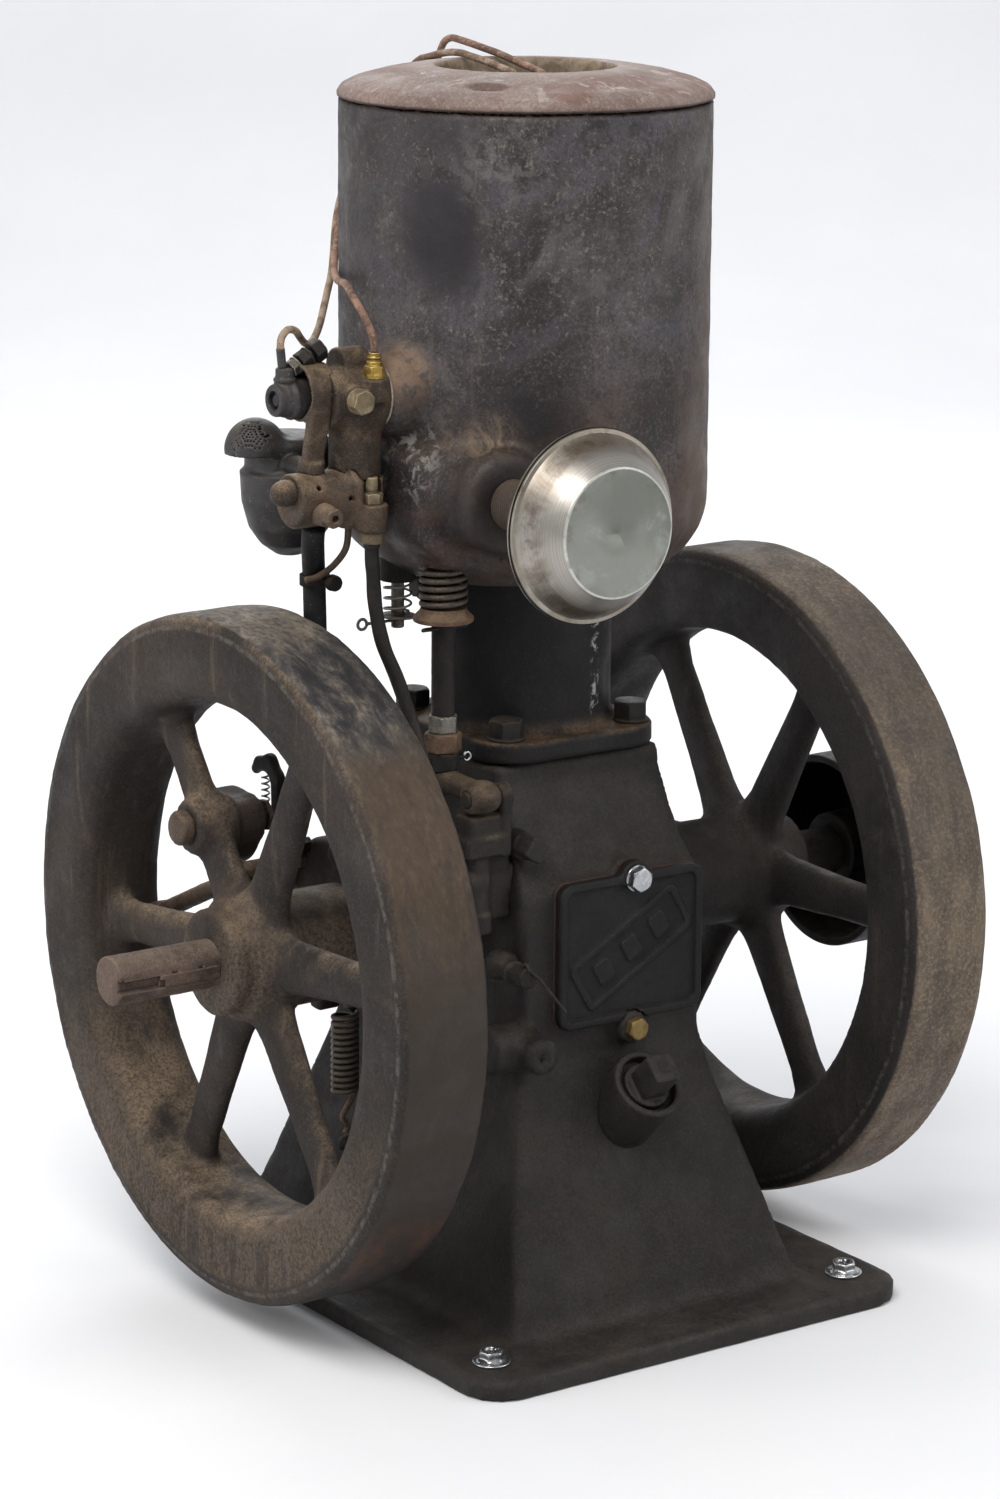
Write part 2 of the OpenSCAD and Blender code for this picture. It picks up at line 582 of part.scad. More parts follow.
// sections of a spoke: distance from the shaft, half thickness, half width
arm = [[22, 11, 25], [36, 9.6, 19], [52, 8.9, 16], [100, 8, 13.6], [134, 7.6, 12.8], [147, 8.6, 15], [158, 11, 20]];
module spoke() { // flattened, flared arm standing along +Z
    n = 16;
    m = len(arm);
    pts = [for (a = arm) for (k = [0 : n - 1]) [a[1] * cos(360 * k / n), a[2] * sin(360 * k / n), a[0]]];
    polyhedron(pts, concat([for (i = [0 : m - 2]) for (k = [0 : n - 1]) let (k2 = (k + 1) % n)
        [i * n + k, (i + 1) * n + k, (i + 1) * n + k2, i * n + k2]],
        [[for (k = [0 : n - 1]) k], [for (k = [n - 1 : -1 : 0]) (m - 1) * n + k]]));
}
module wheel(turn, hub0, hub1) difference() { // from x = 0 (inner face) outwards
    union() {
        rim();
        rotate([0, 90, 0]) translate([0, 0, hub0]) cylinder(h = 15 - hub0, r = 34);
        rotate([0, 90, 0]) translate([0, 0, 14]) cylinder(h = 32, r = 37);
        rotate([0, 90, 0]) translate([0, 0, 45]) cylinder(h = hub1 - 45, r = 32);
        for (i = [0 : spokes - 1]) rotate([turn + i * 360 / spokes, 0, 0])
            translate([rim_w / 2, 0, 0]) spoke();
    }
    rotate([0, 90, 0]) translate([0, 0, -120]) cylinder(h = 240, r = shaft_r);
}
module flywheel_left() color([0.44, 0.38, 0.33])
    translate([-wheel_in, YC, ZC]) mirror([1, 0, 0]) difference() {
        union() {
            wheel(left_turn - 90, -35, 60.8);
            rotate([left_turn - 90, 0, 0]) translate([18, 0, 85]) rotate([0, 90, 0]) cylinder(h = 27, r = 16);
        }
        rotate([left_turn - 90, 0, 0]) translate([0, 0, 85]) rotate([0, 90, 0]) cylinder(h = 60, r = 7);
    }
module flywheel_right() color([0.44, 0.39, 0.35])
    translate([wheel_in, YC, ZC]) wheel(right_turn - 90, -43, 60.8);
module belt_pulley() color([0.24, 0.23, 0.23]) difference() {
    translate([pulley_x, YC, ZC]) rotate([0, 90, 0]) union() {
        difference() {
            cylinder(h = pulley_w, r = pulley_r);
            translate([0, 0, -1]) cylinder(h = pulley_w + 2, r = pulley_r - 5);
        }
        translate([0, 0, 52]) cylinder(h = 8, r = pulley_r - 4);
        translate([0, 0, 6]) cylinder(h = pulley_w - 6, r = 24);
    }
    cx(shaft_r, pulley_x - 10, pulley_x + 200, YC, ZC);
}
// governor weight on its pivot through the boss of one left spoke
gov = [YC + 85 * cos(left_turn), ZC + 85 * sin(left_turn)];
module governor_bolt() color([0.44, 0.38, 0.32]) {
    cx(6.95, -199, -143, gov[0], gov[1]);
    cx(11, -207, -198.2, gov[0], gov[1]);
    cx(9.5, -146.5, -143, gov[0], gov[1]);
}
module governor_weight() color([0.40, 0.34, 0.29]) difference() {
    hull() {
        cx(12.5, -169, -150, gov[0], gov[1], $fn = 32);
        cx(22.5, -169, -150, gov[0] + 17.5, gov[1] - 8.4, $fn = 48);
    }
    cx(7.05, -180, -140, gov[0], gov[1]);
}
module governor_link() color([0.47, 0.40, 0.34]) difference() {
    union() {
        tube([[-158, 162.4, 209.9], [-158, 108, 236], [-158, 45, 262]], 5.5, 12);
        cx(7, -180, -152.5, 162.4, 209.9);
        cx(6.5, -180, -152.5, 43, 265);
    }
    for (a = [left_turn - 150, left_turn - 90]) translate([-wheel_in - rim_w / 2, YC, ZC])
        rotate([a, 0, 0]) spoke();
    translate([-wheel_in, YC, ZC]) mirror([1, 0, 0]) rim();
    cx(37.05, -220, -100, YC, ZC);
}

// ---------- ignition leads ----------
lead_a_route = [[-180.8, -18.5, 577.1], [-181.4, -18.5, 582], [-182, -18.5, 588], [-180.5, -17.5, 594],
    [-175, -15, 597.6], [-167, -10.5, 596], [-160, -4.5, 591], [-153, 2, 586.5],
    [-145, 9.5, 584.2], [-135, 19.5, 585.5], [-122, 34, 590.5], [-109, 50, 597],
    [-98, 63, 604.5], [-88, 74, 613.5], [-80, 84, 625], [-70, 96, 644], [-57, 106, 664],
    [-41, 113.5, 683], [-25, 116, 700], [-13, 116, 715], [-6.5, 112, 727.5],
    [-5.2, 103.5, 733.8], [-5.6, 93, 736.2], [-6.2, 82, 738.6], [-7.2, 69, 740.6],
    [-8.6, 55, 741.3], [-10.2, 42, 740.4], [-10.8, 27, 738.8], [-11.6, 10, 736.5],
    [-14.3, -8, 734.5]];
lead_b_route = [[-131, -38, 584.6], [-131.4, -38, 589.5], [-133.5, -37, 598], [-136.3, -33, 607],
    [-136.8, -25, 614.5], [-133, -13, 618.8], [-127, 0, 619.3], [-120, 14, 617.5],
    [-112, 30, 616.3], [-103, 47, 617.5], [-92.8, 63.2, 621.5], [-82.8, 76.5, 630],
    [-72.5, 87, 645], [-57, 99, 659.5], [-38, 108.5, 672.5], [-16, 115, 688], [3, 118, 705],
    [13, 119, 720], [18.5, 118.5, 733.5], [19.6, 114, 742.3], [18.6, 104.5, 745.6],
    [17, 92, 745.2], [15.4, 76, 743.8], [13.8, 60, 742.2], [12.1, 44, 740.6], [9.6, 26, 738.3],
    [6.3, 6, 736.2], [2.2, -14, 734]];
module ignition_lead_a() color([0.42, 0.36, 0.30]) tube(smooth(lead_a_route, 2), 2.2, 8);
module ignition_lead_b() color([0.36, 0.27, 0.23]) tube(smooth(lead_b_route, 2), 2.2, 8);

frame();
crankcase_cover();
cover_gasket();
cover_bolts();
oil_filler();
side_plug();
petcock();
timing_housing();
cylinder_node();  // cylinder
cylinder_bolts();
inner_cylinder();
hopper();
hopper_lid();
exhaust_nipple();
muffler_back();
muffler_front();
intake_manifold();
manifold_bolt();
lead_terminal();
igniter();
igniter_strap();
igniter_nuts();
mixer_body();
mixer_plugs();
fuel_fitting();
fuel_pipe();
drip_line();
air_horn();
breather_hose();
hose_clamp();
intake_guide();
intake_stem();
intake_spring();
exhaust_spring();
spring_seat();
push_rod();
push_rod_nuts();
exhaust_lever();
lever_bracket();
latch_arm();
pull_spring();
crankshaft();
crank_key();
flywheel_left();
flywheel_right();
belt_pulley();
governor_weight();
governor_bolt();
governor_link();
ignition_lead_a();
ignition_lead_b();
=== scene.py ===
import json
import math

import bpy
import numpy as np
from mathutils import Matrix, Vector


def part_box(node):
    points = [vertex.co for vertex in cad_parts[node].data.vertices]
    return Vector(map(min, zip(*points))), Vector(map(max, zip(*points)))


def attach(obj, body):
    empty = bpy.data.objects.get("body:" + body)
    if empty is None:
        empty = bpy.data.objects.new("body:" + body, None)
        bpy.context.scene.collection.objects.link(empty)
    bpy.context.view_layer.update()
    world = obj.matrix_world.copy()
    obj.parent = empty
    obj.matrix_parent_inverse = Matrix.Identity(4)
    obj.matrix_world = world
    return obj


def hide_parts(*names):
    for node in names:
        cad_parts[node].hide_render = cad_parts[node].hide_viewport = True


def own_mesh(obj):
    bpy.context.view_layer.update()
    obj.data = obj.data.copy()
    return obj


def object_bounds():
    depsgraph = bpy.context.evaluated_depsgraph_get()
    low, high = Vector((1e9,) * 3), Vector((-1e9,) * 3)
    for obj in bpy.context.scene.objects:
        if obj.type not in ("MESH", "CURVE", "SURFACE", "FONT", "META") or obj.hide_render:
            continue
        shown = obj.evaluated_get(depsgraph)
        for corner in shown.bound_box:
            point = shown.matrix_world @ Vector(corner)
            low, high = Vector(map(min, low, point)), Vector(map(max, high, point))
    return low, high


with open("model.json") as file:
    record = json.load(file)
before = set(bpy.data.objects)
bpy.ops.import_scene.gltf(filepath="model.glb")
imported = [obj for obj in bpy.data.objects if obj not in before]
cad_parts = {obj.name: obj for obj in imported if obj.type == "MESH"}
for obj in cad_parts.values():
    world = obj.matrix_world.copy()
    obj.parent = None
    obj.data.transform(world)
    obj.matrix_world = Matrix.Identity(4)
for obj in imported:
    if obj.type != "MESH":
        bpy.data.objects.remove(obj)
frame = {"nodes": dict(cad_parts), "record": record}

cad_lo, cad_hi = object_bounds()
MM = 0.001

# ------------------------------------------------------------------ camera
yaw, pitch, roll = -0.6117, 0.2401, 0.0072
fwd = Vector((-math.sin(yaw) * math.cos(pitch), math.cos(yaw) * math.cos(pitch), -math.sin(pitch)))
rgt = Vector((math.cos(yaw), math.sin(yaw), 0.0))
upv = rgt.cross(fwd)
c_, s_ = math.cos(roll), math.sin(roll)
r2, u2 = c_ * rgt + s_ * upv, -s_ * rgt + c_ * upv
cam_data = bpy.data.cameras.new("camera")
cam = bpy.data.objects.new("camera", cam_data)
bpy.context.scene.collection.objects.link(cam)
m = Matrix((r2, u2, -fwd)).transposed().to_4x4()
m.translation = Vector((-1.5023, -2.1201, 0.9621))
cam.matrix_world = m
cam_data.sensor_width = 36.0
cam_data.lens = 4409.6 / 1499.0 * 36.0
cam_data.clip_start, cam_data.clip_end = 0.05, 60.0
bpy.context.scene.camera = cam

# ------------------------------------------------------------------ signed distance fields, in mm
def box(a, b, r=0.0):
    a, b = np.array(a, float), np.array(b, float)
    c, h = (a + b) / 2, (b - a) / 2 - r
    def f(P):
        q = np.abs(P - c) - h
        return np.linalg.norm(np.maximum(q, 0), axis=1) + np.minimum(q.max(1), 0) - r
    return f


def bar(p0, p1, r0, r1=None, rd=0.0):
    """Round bar or cone from p0 to p1, with its edges rounded by rd."""
    p0, p1 = np.array(p0, float), np.array(p1, float)
    d = p1 - p0
    L = float(np.linalg.norm(d))
    d = d / L
    r1 = r0 if r1 is None else r1
    k = (r1 - r0) / L
    ck = 1 / math.sqrt(1 + k * k)
    def f(P):
        q = P - p0
        t = q @ d
        rad = np.sqrt(np.maximum((q * q).sum(1) - t * t, 0))
        dx = (rad - (r0 + k * t)) * ck + rd
        dz = np.abs(t - L / 2) - (L / 2 - rd)
        return np.sqrt(np.maximum(dx, 0) ** 2 + np.maximum(dz, 0) ** 2) + np.minimum(np.maximum(dx, dz), 0) - rd
    return f


def cx(r, x0, x1, y, z, r2=None, rd=0.0):
    return bar((x0, y, z), (x1, y, z), r, r2, rd)


def cy(r, y0, y1, x, z, r2=None, rd=0.0):
    return bar((x, y0, z), (x, y1, z), r, r2, rd)


def cz(r, z0, z1, x, y, r2=None, rd=0.0):
    return bar((x, y, z0), (x, y, z1), r, r2, rd)


def ball(c, r):
    c = np.array(c, float)
    return lambda P: np.linalg.norm(P - c, axis=1) - r


def capsule(p0, p1, r0, r1=None):
    p0, p1 = np.array(p0, float), np.array(p1, float)
    d = p1 - p0
    L2 = float(d @ d)
    r1 = r0 if r1 is None else r1
    def f(P):
        q = P - p0
        t = np.clip(q @ d / L2, 0, 1)
        return np.linalg.norm(q - t[:, None] * d, axis=1) - (r0 + (r1 - r0) * t)
    return f


def poly2(V):
    V = np.array(V, float)
    def f(x, y):
        d = (x - V[0, 0]) ** 2 + (y - V[0, 1]) ** 2
        s = np.ones_like(x)
        j = len(V) - 1
        for i in range(len(V)):
            ex, ey = V[j] - V[i]
            wx, wy = x - V[i, 0], y - V[i, 1]
            t = np.clip((wx * ex + wy * ey) / (ex * ex + ey * ey + 1e-12), 0, 1)
            bx, by = wx - ex * t, wy - ey * t
            d = np.minimum(d, bx * bx + by * by)
            a, b, c = y >= V[i, 1], y < V[j, 1], ex * wy > ey * wx
            s = np.where((a & b & c) | (~a & ~b & ~c), -s, s)
            j = i
        return s * np.sqrt(d)
    return f


def prism(V, axis, a, b, rd=0.0):
    """Outline V pushed along an axis from a to b. The outline's plane is (y, z), (x, z) or (x, y)."""
    g = poly2(V)
    i, j = {0: (1, 2), 1: (0, 2), 2: (0, 1)}[axis]
    def f(P):
        dx = g(P[:, i], P[:, j]) + rd
        dz = np.abs(P[:, axis] - (a + b) / 2) - ((b - a) / 2 - rd)
        return np.sqrt(np.maximum(dx, 0) ** 2 + np.maximum(dz, 0) ** 2) + np.minimum(np.maximum(dx, dz), 0) - rd
    return f


def rslab(c, w, d, r, axis, a, b, rd=0.0):
    """Slab with round corners: middle c and size w by d in its plane, from a to b along the axis."""
    i, j = {0: (1, 2), 1: (0, 2), 2: (0, 1)}[axis]
    def f(P):
        qx = np.abs(P[:, i] - c[0]) - (w / 2 - r)
        qy = np.abs(P[:, j] - c[1]) - (d / 2 - r)
        g = np.sqrt(np.maximum(qx, 0) ** 2 + np.maximum(qy, 0) ** 2) + np.minimum(np.maximum(qx, qy), 0) - r
        dx = g + rd
        dz = np.abs(P[:, axis] - (a + b) / 2) - ((b - a) / 2 - rd)
        return np.sqrt(np.maximum(dx, 0) ** 2 + np.maximum(dz, 0) ** 2) + np.minimum(np.maximum(dx, dz), 0) - rd
    return f


def spun(V, axis, c, rd=0.0):
    """Outline V of (radius, place along the axis), spun about an axis through c."""
    g = poly2(V)
    i, j = {0: (1, 2), 1: (0, 2), 2: (0, 1)}[axis]
    return lambda P: g(np.hypot(P[:, i] - c[0], P[:, j] - c[1]), P[:, axis]) - rd


def ring(c, axis, R, r):
    i, j = {0: (1, 2), 1: (0, 2), 2: (0, 1)}[axis]
    return lambda P: np.hypot(np.hypot(P[:, i] - c[i], P[:, j] - c[j]) - R, P[:, axis] - c[axis]) - r


def hexbar(p0, p1, af, turn=0.0, rd=0.6):
    """Six-sided bar, with its far end chamfered as on a nut."""
    p0, p1 = np.array(p0, float), np.array(p1, float)
    d = p1 - p0
    L = float(np.linalg.norm(d))
    d = d / L
    u = np.cross(d, [0.31, 0.57, 0.76] if abs(d[2]) < 0.9 else [0, 1, 0])
    u = u / np.linalg.norm(u)
    v = np.cross(d, u)
    A = [math.radians(turn + 60 * i) for i in range(3)]
    def f(P):
        q = P - p0
        t, a, b = q @ d, q @ u, q @ v
        g = np.max([np.abs(a * math.cos(w) + b * math.sin(w)) for w in A], axis=0) - af / 2 + rd
        rad = np.hypot(a, b)
        g = np.maximum(g, (rad - af * 0.545 + rd * 0.5) * 1.0)
        dz = np.abs(t - L / 2) - (L / 2 - rd)
        g = np.sqrt(np.maximum(g, 0) ** 2 + np.maximum(dz, 0) ** 2) + np.minimum(np.maximum(g, dz), 0) - rd
        return np.maximum(g, (t - L) * 0.866 + (rad - af * 0.47) * 0.5)
    return f


def moved(f, c, axis, deg):
    """The field f, made about the origin, turned by deg about an axis and then moved to c."""
    R = np.array(Matrix.Rotation(math.radians(deg), 3, Vector(axis)))
    c = np.array(c, float)
    return lambda P: f((P - c) @ R)


def join(*fs, k=0.0):
    def f(P):
        d = fs[0](P)
        for g in fs[1:]:
            e = g(P)
            if k > 0:
                h = np.maximum(k - np.abs(d - e), 0) / k
                d = np.minimum(d, e) - h * h * k / 4
            else:
                d = np.minimum(d, e)
        return d
    return f


def both(*fs, k=0.0):
    def f(P):
        d = fs[0](P)
        for g in fs[1:]:
            e = g(P)
            if k > 0:
                h = np.maximum(k - np.abs(d - e), 0) / k
                d = np.maximum(d, e) + h * h * k / 4
            else:
                d = np.maximum(d, e)
        return d
    return f


def cut(f0, *gs, k=0.0):
    def f(P):
        d = f0(P)
        for g in gs:
            e = -g(P)
            if k > 0:
                h = np.maximum(k - np.abs(d - e), 0) / k
                d = np.maximum(d, e) + h * h * k / 4
            else:
                d = np.maximum(d, e)
        return d
    return f


def rough(f0, amp, size, seed=0.0):
    """The surface of f0 with the gentle waves of a sand casting."""
    def f(P):
        q = P / size + seed
        w = (np.sin(q[:, 0] * 1.7 + 2.1 * np.sin(q[:, 1] * 1.3 + seed)) + np.sin(q[:, 1] * 2.1 + 1.7 * np.sin(q[:, 2] * 1.1))
             + np.sin(q[:, 2] * 1.9 + 1.9 * np.sin(q[:, 0] * 1.2 + 1.3)))
        q = q * 2.9 + 5.1
        w2 = (np.sin(q[:, 0] * 1.3 + 2.3 * np.sin(q[:, 2] * 1.7)) + np.sin(q[:, 1] * 1.9 + 1.9 * np.sin(q[:, 0] * 1.1 + seed))
              + np.sin(q[:, 2] * 2.2 + 1.5 * np.sin(q[:, 1] * 1.4)))
        return f0(P) + amp * (w / 3 + 0.5 * w2 / 3)
    return f


EDGES = [(0, 1), (2, 3), (4, 5), (6, 7), (0, 2), (1, 3), (4, 6), (5, 7), (0, 4), (1, 5), (2, 6), (3, 7)]
CORNER = np.array([[i & 1, (i >> 1) & 1, (i >> 2) & 1] for i in range(8)])


def nets(f, lo, hi, cell, steps=3):
    """Quad mesh of the surface f = 0, found on a grid and then moved onto the surface."""
    B = 8
    lo = np.array(lo, float) - 2.37 * cell
    nb = np.ceil((np.array(hi, float) + 2.37 * cell - lo) / (cell * B)).astype(int)
    n = nb * B
    ib = np.stack(np.meshgrid(*[np.arange(k) for k in nb], indexing="ij"), -1).reshape(-1, 3)
    mid = lo + (ib * B + (B - 1) / 2) * cell
    v = f(mid)
    near = np.abs(v) < B * cell * 0.5 * 1.7321 * 1.35 + 1.0
    F = np.empty(n, np.float32)
    Fb = F.reshape(nb[0], B, nb[1], B, nb[2], B)
    base = np.where(v < 0, -99.0, 99.0).astype(np.float32)
    Fb[:] = base.reshape(nb)[:, None, :, None, :, None]
    off = np.stack(np.meshgrid(*[np.arange(B)] * 3, indexing="ij"), -1).reshape(-1, 3)
    act = ib[near]
    for s in range(0, len(act), 400):
        a = act[s:s + 400]
        P = lo + (a[:, None, :] * B + off[None]).reshape(-1, 3) * cell
        w = f(P).reshape(-1, B, B, B)
        Fb[a[:, 0], :, a[:, 1], :, a[:, 2], :] = w
    ins = F < 0
    c = np.zeros(tuple(n - 1), np.int8)
    for o in CORNER:
        c += ins[o[0]:n[0] - 1 + o[0], o[1]:n[1] - 1 + o[1], o[2]:n[2] - 1 + o[2]]
    idx = np.argwhere((c > 0) & (c < 8))
    vals = np.stack([F[idx[:, 0] + o[0], idx[:, 1] + o[1], idx[:, 2] + o[2]] for o in CORNER], 1).astype(float)
    acc, cnt = np.zeros((len(idx), 3)), np.zeros(len(idx))
    for a, b in EDGES:
        va, vb = vals[:, a], vals[:, b]
        mk = (va < 0) != (vb < 0)
        t = np.where(mk, va / np.where(mk, va - vb, 1), 0)
        acc += np.where(mk[:, None], CORNER[a] + t[:, None] * (CORNER[b] - CORNER[a]), 0)
        cnt += mk
    P = lo + (idx + acc / cnt[:, None]) * cell
    ids = np.full(tuple(n - 1), -1, np.int64)
    ids[idx[:, 0], idx[:, 1], idx[:, 2]] = np.arange(len(idx))
    quads = []
    for ax in range(3):
        o = [0, 0, 0]
        o[ax] = 1
        A = ins[:n[0] - o[0], :n[1] - o[1], :n[2] - o[2]]
        C = ins[o[0]:, o[1]:, o[2]:]
        e = np.argwhere(A != C)
        u, w = (ax + 1) % 3, (ax + 2) % 3
        e = e[(e[:, u] > 0) & (e[:, w] > 0) & (e[:, u] < n[u] - 1) & (e[:, w] < n[w] - 1)]
        q = []
        for du, dw in ((-1, -1), (0, -1), (0, 0), (-1, 0)):
            g = e.copy()
            g[:, u] += du
            g[:, w] += dw
            q.append(ids[g[:, 0], g[:, 1], g[:, 2]])
        q = np.stack(q, 1)
        flip = ~A[e[:, 0], e[:, 1], e[:, 2]]
        q[flip] = q[flip][:, ::-1]
        quads.append(q)
    Q = np.concatenate(quads)
    Q = Q[(Q >= 0).all(1)]
    h = cell * 0.08
    for _ in range(steps):
        d = f(P)
        g = np.stack([f(P + h * np.eye(3)[k]) - f(P - h * np.eye(3)[k]) for k in range(3)], 1) / (2 * h)
        st = d[:, None] * g / np.maximum((g * g).sum(1), 0.2)[:, None]
        ln = np.linalg.norm(st, axis=1)
        st *= np.minimum(1, cell * 0.45 / np.maximum(ln, 1e-9))[:, None]
        P = P - st
    return P, Q, f


def attrs(me, P, f, s_edge=2.0, s_cav=7.0):
    """How convex and how hollow the surface is at each vertex: convexity for worn edges, hollowness for dirt and for
    painted shade in the hollows.
    """
    h = 0.3
    g = np.stack([f(P + h * np.eye(3)[k]) - f(P - h * np.eye(3)[k]) for k in range(3)], 1) / (2 * h)
    g = g / np.maximum(np.linalg.norm(g, axis=1), 1e-6)[:, None]
    e = np.zeros(len(P))
    for k in range(3):
        for sg in (-1, 1):
            e += f(P + sg * s_edge * np.eye(3)[k])
    e = e / 6 / s_edge
    c = 1 - f(P + g * s_cav) / s_cav
    for nm, v in (("edge", e), ("cav", c)):
        a = me.attributes.new(nm, "FLOAT", "POINT")
        a.data.foreach_set("value", np.clip(v, -1, 1).astype(np.float32))


def mesh_object(name, P, Q, smooth=True):
    """A mesh object from points in mm and faces that all have the same number of corners."""
    me = bpy.data.meshes.new(name)
    P, Q = np.asarray(P, float) * MM, np.asarray(Q)
    lo, hi = np.array(cad_lo, float), np.array(cad_hi, float)
    if (P.min(0) > lo - 0.001).all() and (P.max(0) < hi + 0.001).all():
        P = np.clip(P, lo, hi)  # casting waves never stand outside the CAD box
    k = Q.shape[1]
    me.vertices.add(len(P))
    me.vertices.foreach_set("co", P.astype(np.float32).ravel())
    me.loops.add(len(Q) * k)
    me.loops.foreach_set("vertex_index", Q.astype(np.int32).ravel())
    me.polygons.add(len(Q))
    me.polygons.foreach_set("loop_start", np.arange(0, len(Q) * k, k, dtype=np.int32))
    me.polygons.foreach_set("loop_total", np.full(len(Q), k, np.int32))
    me.update(calc_edges=True)
    me.validate()
    if smooth:
        me.polygons.foreach_set("use_smooth", np.ones(len(Q), bool))
    ob = bpy.data.objects.new(name, me)
    bpy.context.scene.collection.objects.link(ob)
    return ob


BODY = {n: b for b, ns in frame["record"]["behaviour"]["bodies"].items() for n in ns}


def place(ob, node, material, replaces=True):
    ob.data.materials.append(material)
    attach(ob, BODY[node])
    if replaces:
        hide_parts(node)
    return ob


COARSE = {"hopper_casting": 1.5, "crankcase_casting": 1.5, "flywheel_left_casting": 1.45, "flywheel_right_casting": 1.45,
          "hopper_lid_casting": 1.0, "cylinder_casting": 1.4, "cover_casting": 1.15, "cover_gasket_sheet": 1.0,
          "air_horn_shell": 1.15, "mixer_casting": 1.2}


def cast(name, node, f, lo, hi, cell, material, replaces=True, wear_and_shade_reach=(2.0, 7.0), steps=3):
    P, Q, g = nets(f, lo, hi, cell * COARSE.get(name, 1.32), steps)
    ob = mesh_object(name, P, Q)
    attrs(ob.data, P, g, *wear_and_shade_reach)
    return place(ob, node, material, replaces)


# ------------------------------------------------------------------ spun and swept meshes
def fillet(V, rad, n=5, closed=True):
    """Outline V with each corner rounded by rad (one number, or one for each corner)."""
    V = [np.array(p, float) for p in V]
    R = [rad] * len(V) if np.isscalar(rad) else list(rad)
    out = []
    for i, p in enumerate(V):
        if (not closed and i in (0, len(V) - 1)) or R[i] <= 0:
            out.append(p)
            continue
        a, b = V[i - 1], V[(i + 1) % len(V)]
        da, db = (a - p), (b - p)
        la, lb = np.linalg.norm(da), np.linalg.norm(db)
        da, db = da / la, db / lb
        cosv = float(np.clip(da @ db, -0.9999, 0.9999))
        half = math.acos(cosv) / 2
        t = min(R[i] / math.tan(half), la * 0.48, lb * 0.48)
        for j in range(n + 1):
            s = j / n
            q = (1 - s) ** 2 * (p + da * t) + 2 * s * (1 - s) * p + s * s * (p + db * t)
            out.append(q)
    return out


def spin(name, V, p0, d, n=128, closed=True, turn=0.0):
    """Outline V of (radius, place along d from p0), spun into a mesh."""
    d = np.array(d, float) / np.linalg.norm(d)
    u = np.cross(d, [0, 0, 1] if abs(d[2]) < 0.9 else [0, 1, 0])
    u = u / np.linalg.norm(u)
    w = np.cross(d, u)
    V = np.array(V, float)
    m = len(V)
    A = np.arange(n) * 2 * math.pi / n + turn
    P = (np.array(p0, float) + V[:, None, 1:2] * d + V[:, None, 0:1] * (np.cos(A)[None, :, None] * u + np.sin(A)[None, :, None] * w)).reshape(-1, 3)
    i, j = np.meshgrid(np.arange(m if closed else m - 1), np.arange(n), indexing="ij")
    i2, j2 = (i + 1) % m, (j + 1) % n
    Q = np.stack([i * n + j, i2 * n + j, i2 * n + j2, i * n + j2], -1).reshape(-1, 4)
    area = 0.5 * sum(V[a][0] * V[(a + 1) % m][1] - V[(a + 1) % m][0] * V[a][1] for a in range(m))
    if area > 0:
        Q = Q[:, ::-1]
    ob = mesh_object(name, P, Q)
    clean(ob)
    mesh_attrs(ob)
    return ob


def clean(ob, dist=1e-5):
    import bmesh
    bm = bmesh.new()
    bm.from_mesh(ob.data)
    bmesh.ops.remove_doubles(bm, verts=bm.verts, dist=dist)
    bmesh.ops.dissolve_degenerate(bm, edges=bm.edges, dist=dist * 0.1)
    bmesh.ops.recalc_face_normals(bm, faces=bm.faces)
    for fc in bm.faces:
        fc.smooth = True
    bm.to_mesh(ob.data)
    bm.free()


def mesh_attrs(ob):
    """The same convexity and hollowness numbers as attrs(), for worn edges and for dirt and painted shade in hollows,
    from a mesh's own shape.
    """
    me = ob.data
    nv = len(me.vertices)
    co = np.empty(nv * 3, np.float32)
    no = np.empty(nv * 3, np.float32)
    me.vertices.foreach_get("co", co)
    me.vertices.foreach_get("normal", no)
    co, no = co.reshape(-1, 3), no.reshape(-1, 3)
    ed = np.empty(len(me.edges) * 2, np.int32)
    me.edges.foreach_get("vertices", ed)
    ed = ed.reshape(-1, 2)
    v = co[ed[:, 1]] - co[ed[:, 0]]
    ln = np.maximum(np.linalg.norm(v, axis=1), 1e-6)
    acc, cnt = np.zeros(nv), np.zeros(nv)
    np.add.at(acc, ed[:, 0], -(v * no[ed[:, 0]]).sum(1) / ln)
    np.add.at(acc, ed[:, 1], (v * no[ed[:, 1]]).sum(1) / ln)
    np.add.at(cnt, ed[:, 0], 1)
    np.add.at(cnt, ed[:, 1], 1)
    c = acc / np.maximum(cnt, 1)
    for _ in range(2):
        s = np.zeros(nv)
        np.add.at(s, ed[:, 0], c[ed[:, 1]])
        np.add.at(s, ed[:, 1], c[ed[:, 0]])
        c = 0.5 * c + 0.5 * s / np.maximum(cnt, 1)
    for nm, val in (("edge", c * 1.6), ("cav", -c * 2)):
        a = me.attributes.get(nm) or me.attributes.new(nm, "FLOAT", "POINT")
        a.data.foreach_set("value", np.clip(val, -1, 1).astype(np.float32))


def catmull(P, m):
    P = np.array(P, float)
    out = []
    for i in range(len(P) - 1):
        a, b, c, d = P[max(i - 1, 0)], P[i], P[i + 1], P[min(i + 2, len(P) - 1)]
        for j in range(m):
            t = j / m
            out.append(0.5 * (2 * b + (c - a) * t + (2 * a - 5 * b + 4 * c - d) * t * t + (3 * b - a - 3 * c + d) * t ** 3))
    out.append(P[-1])
    return np.array(out)


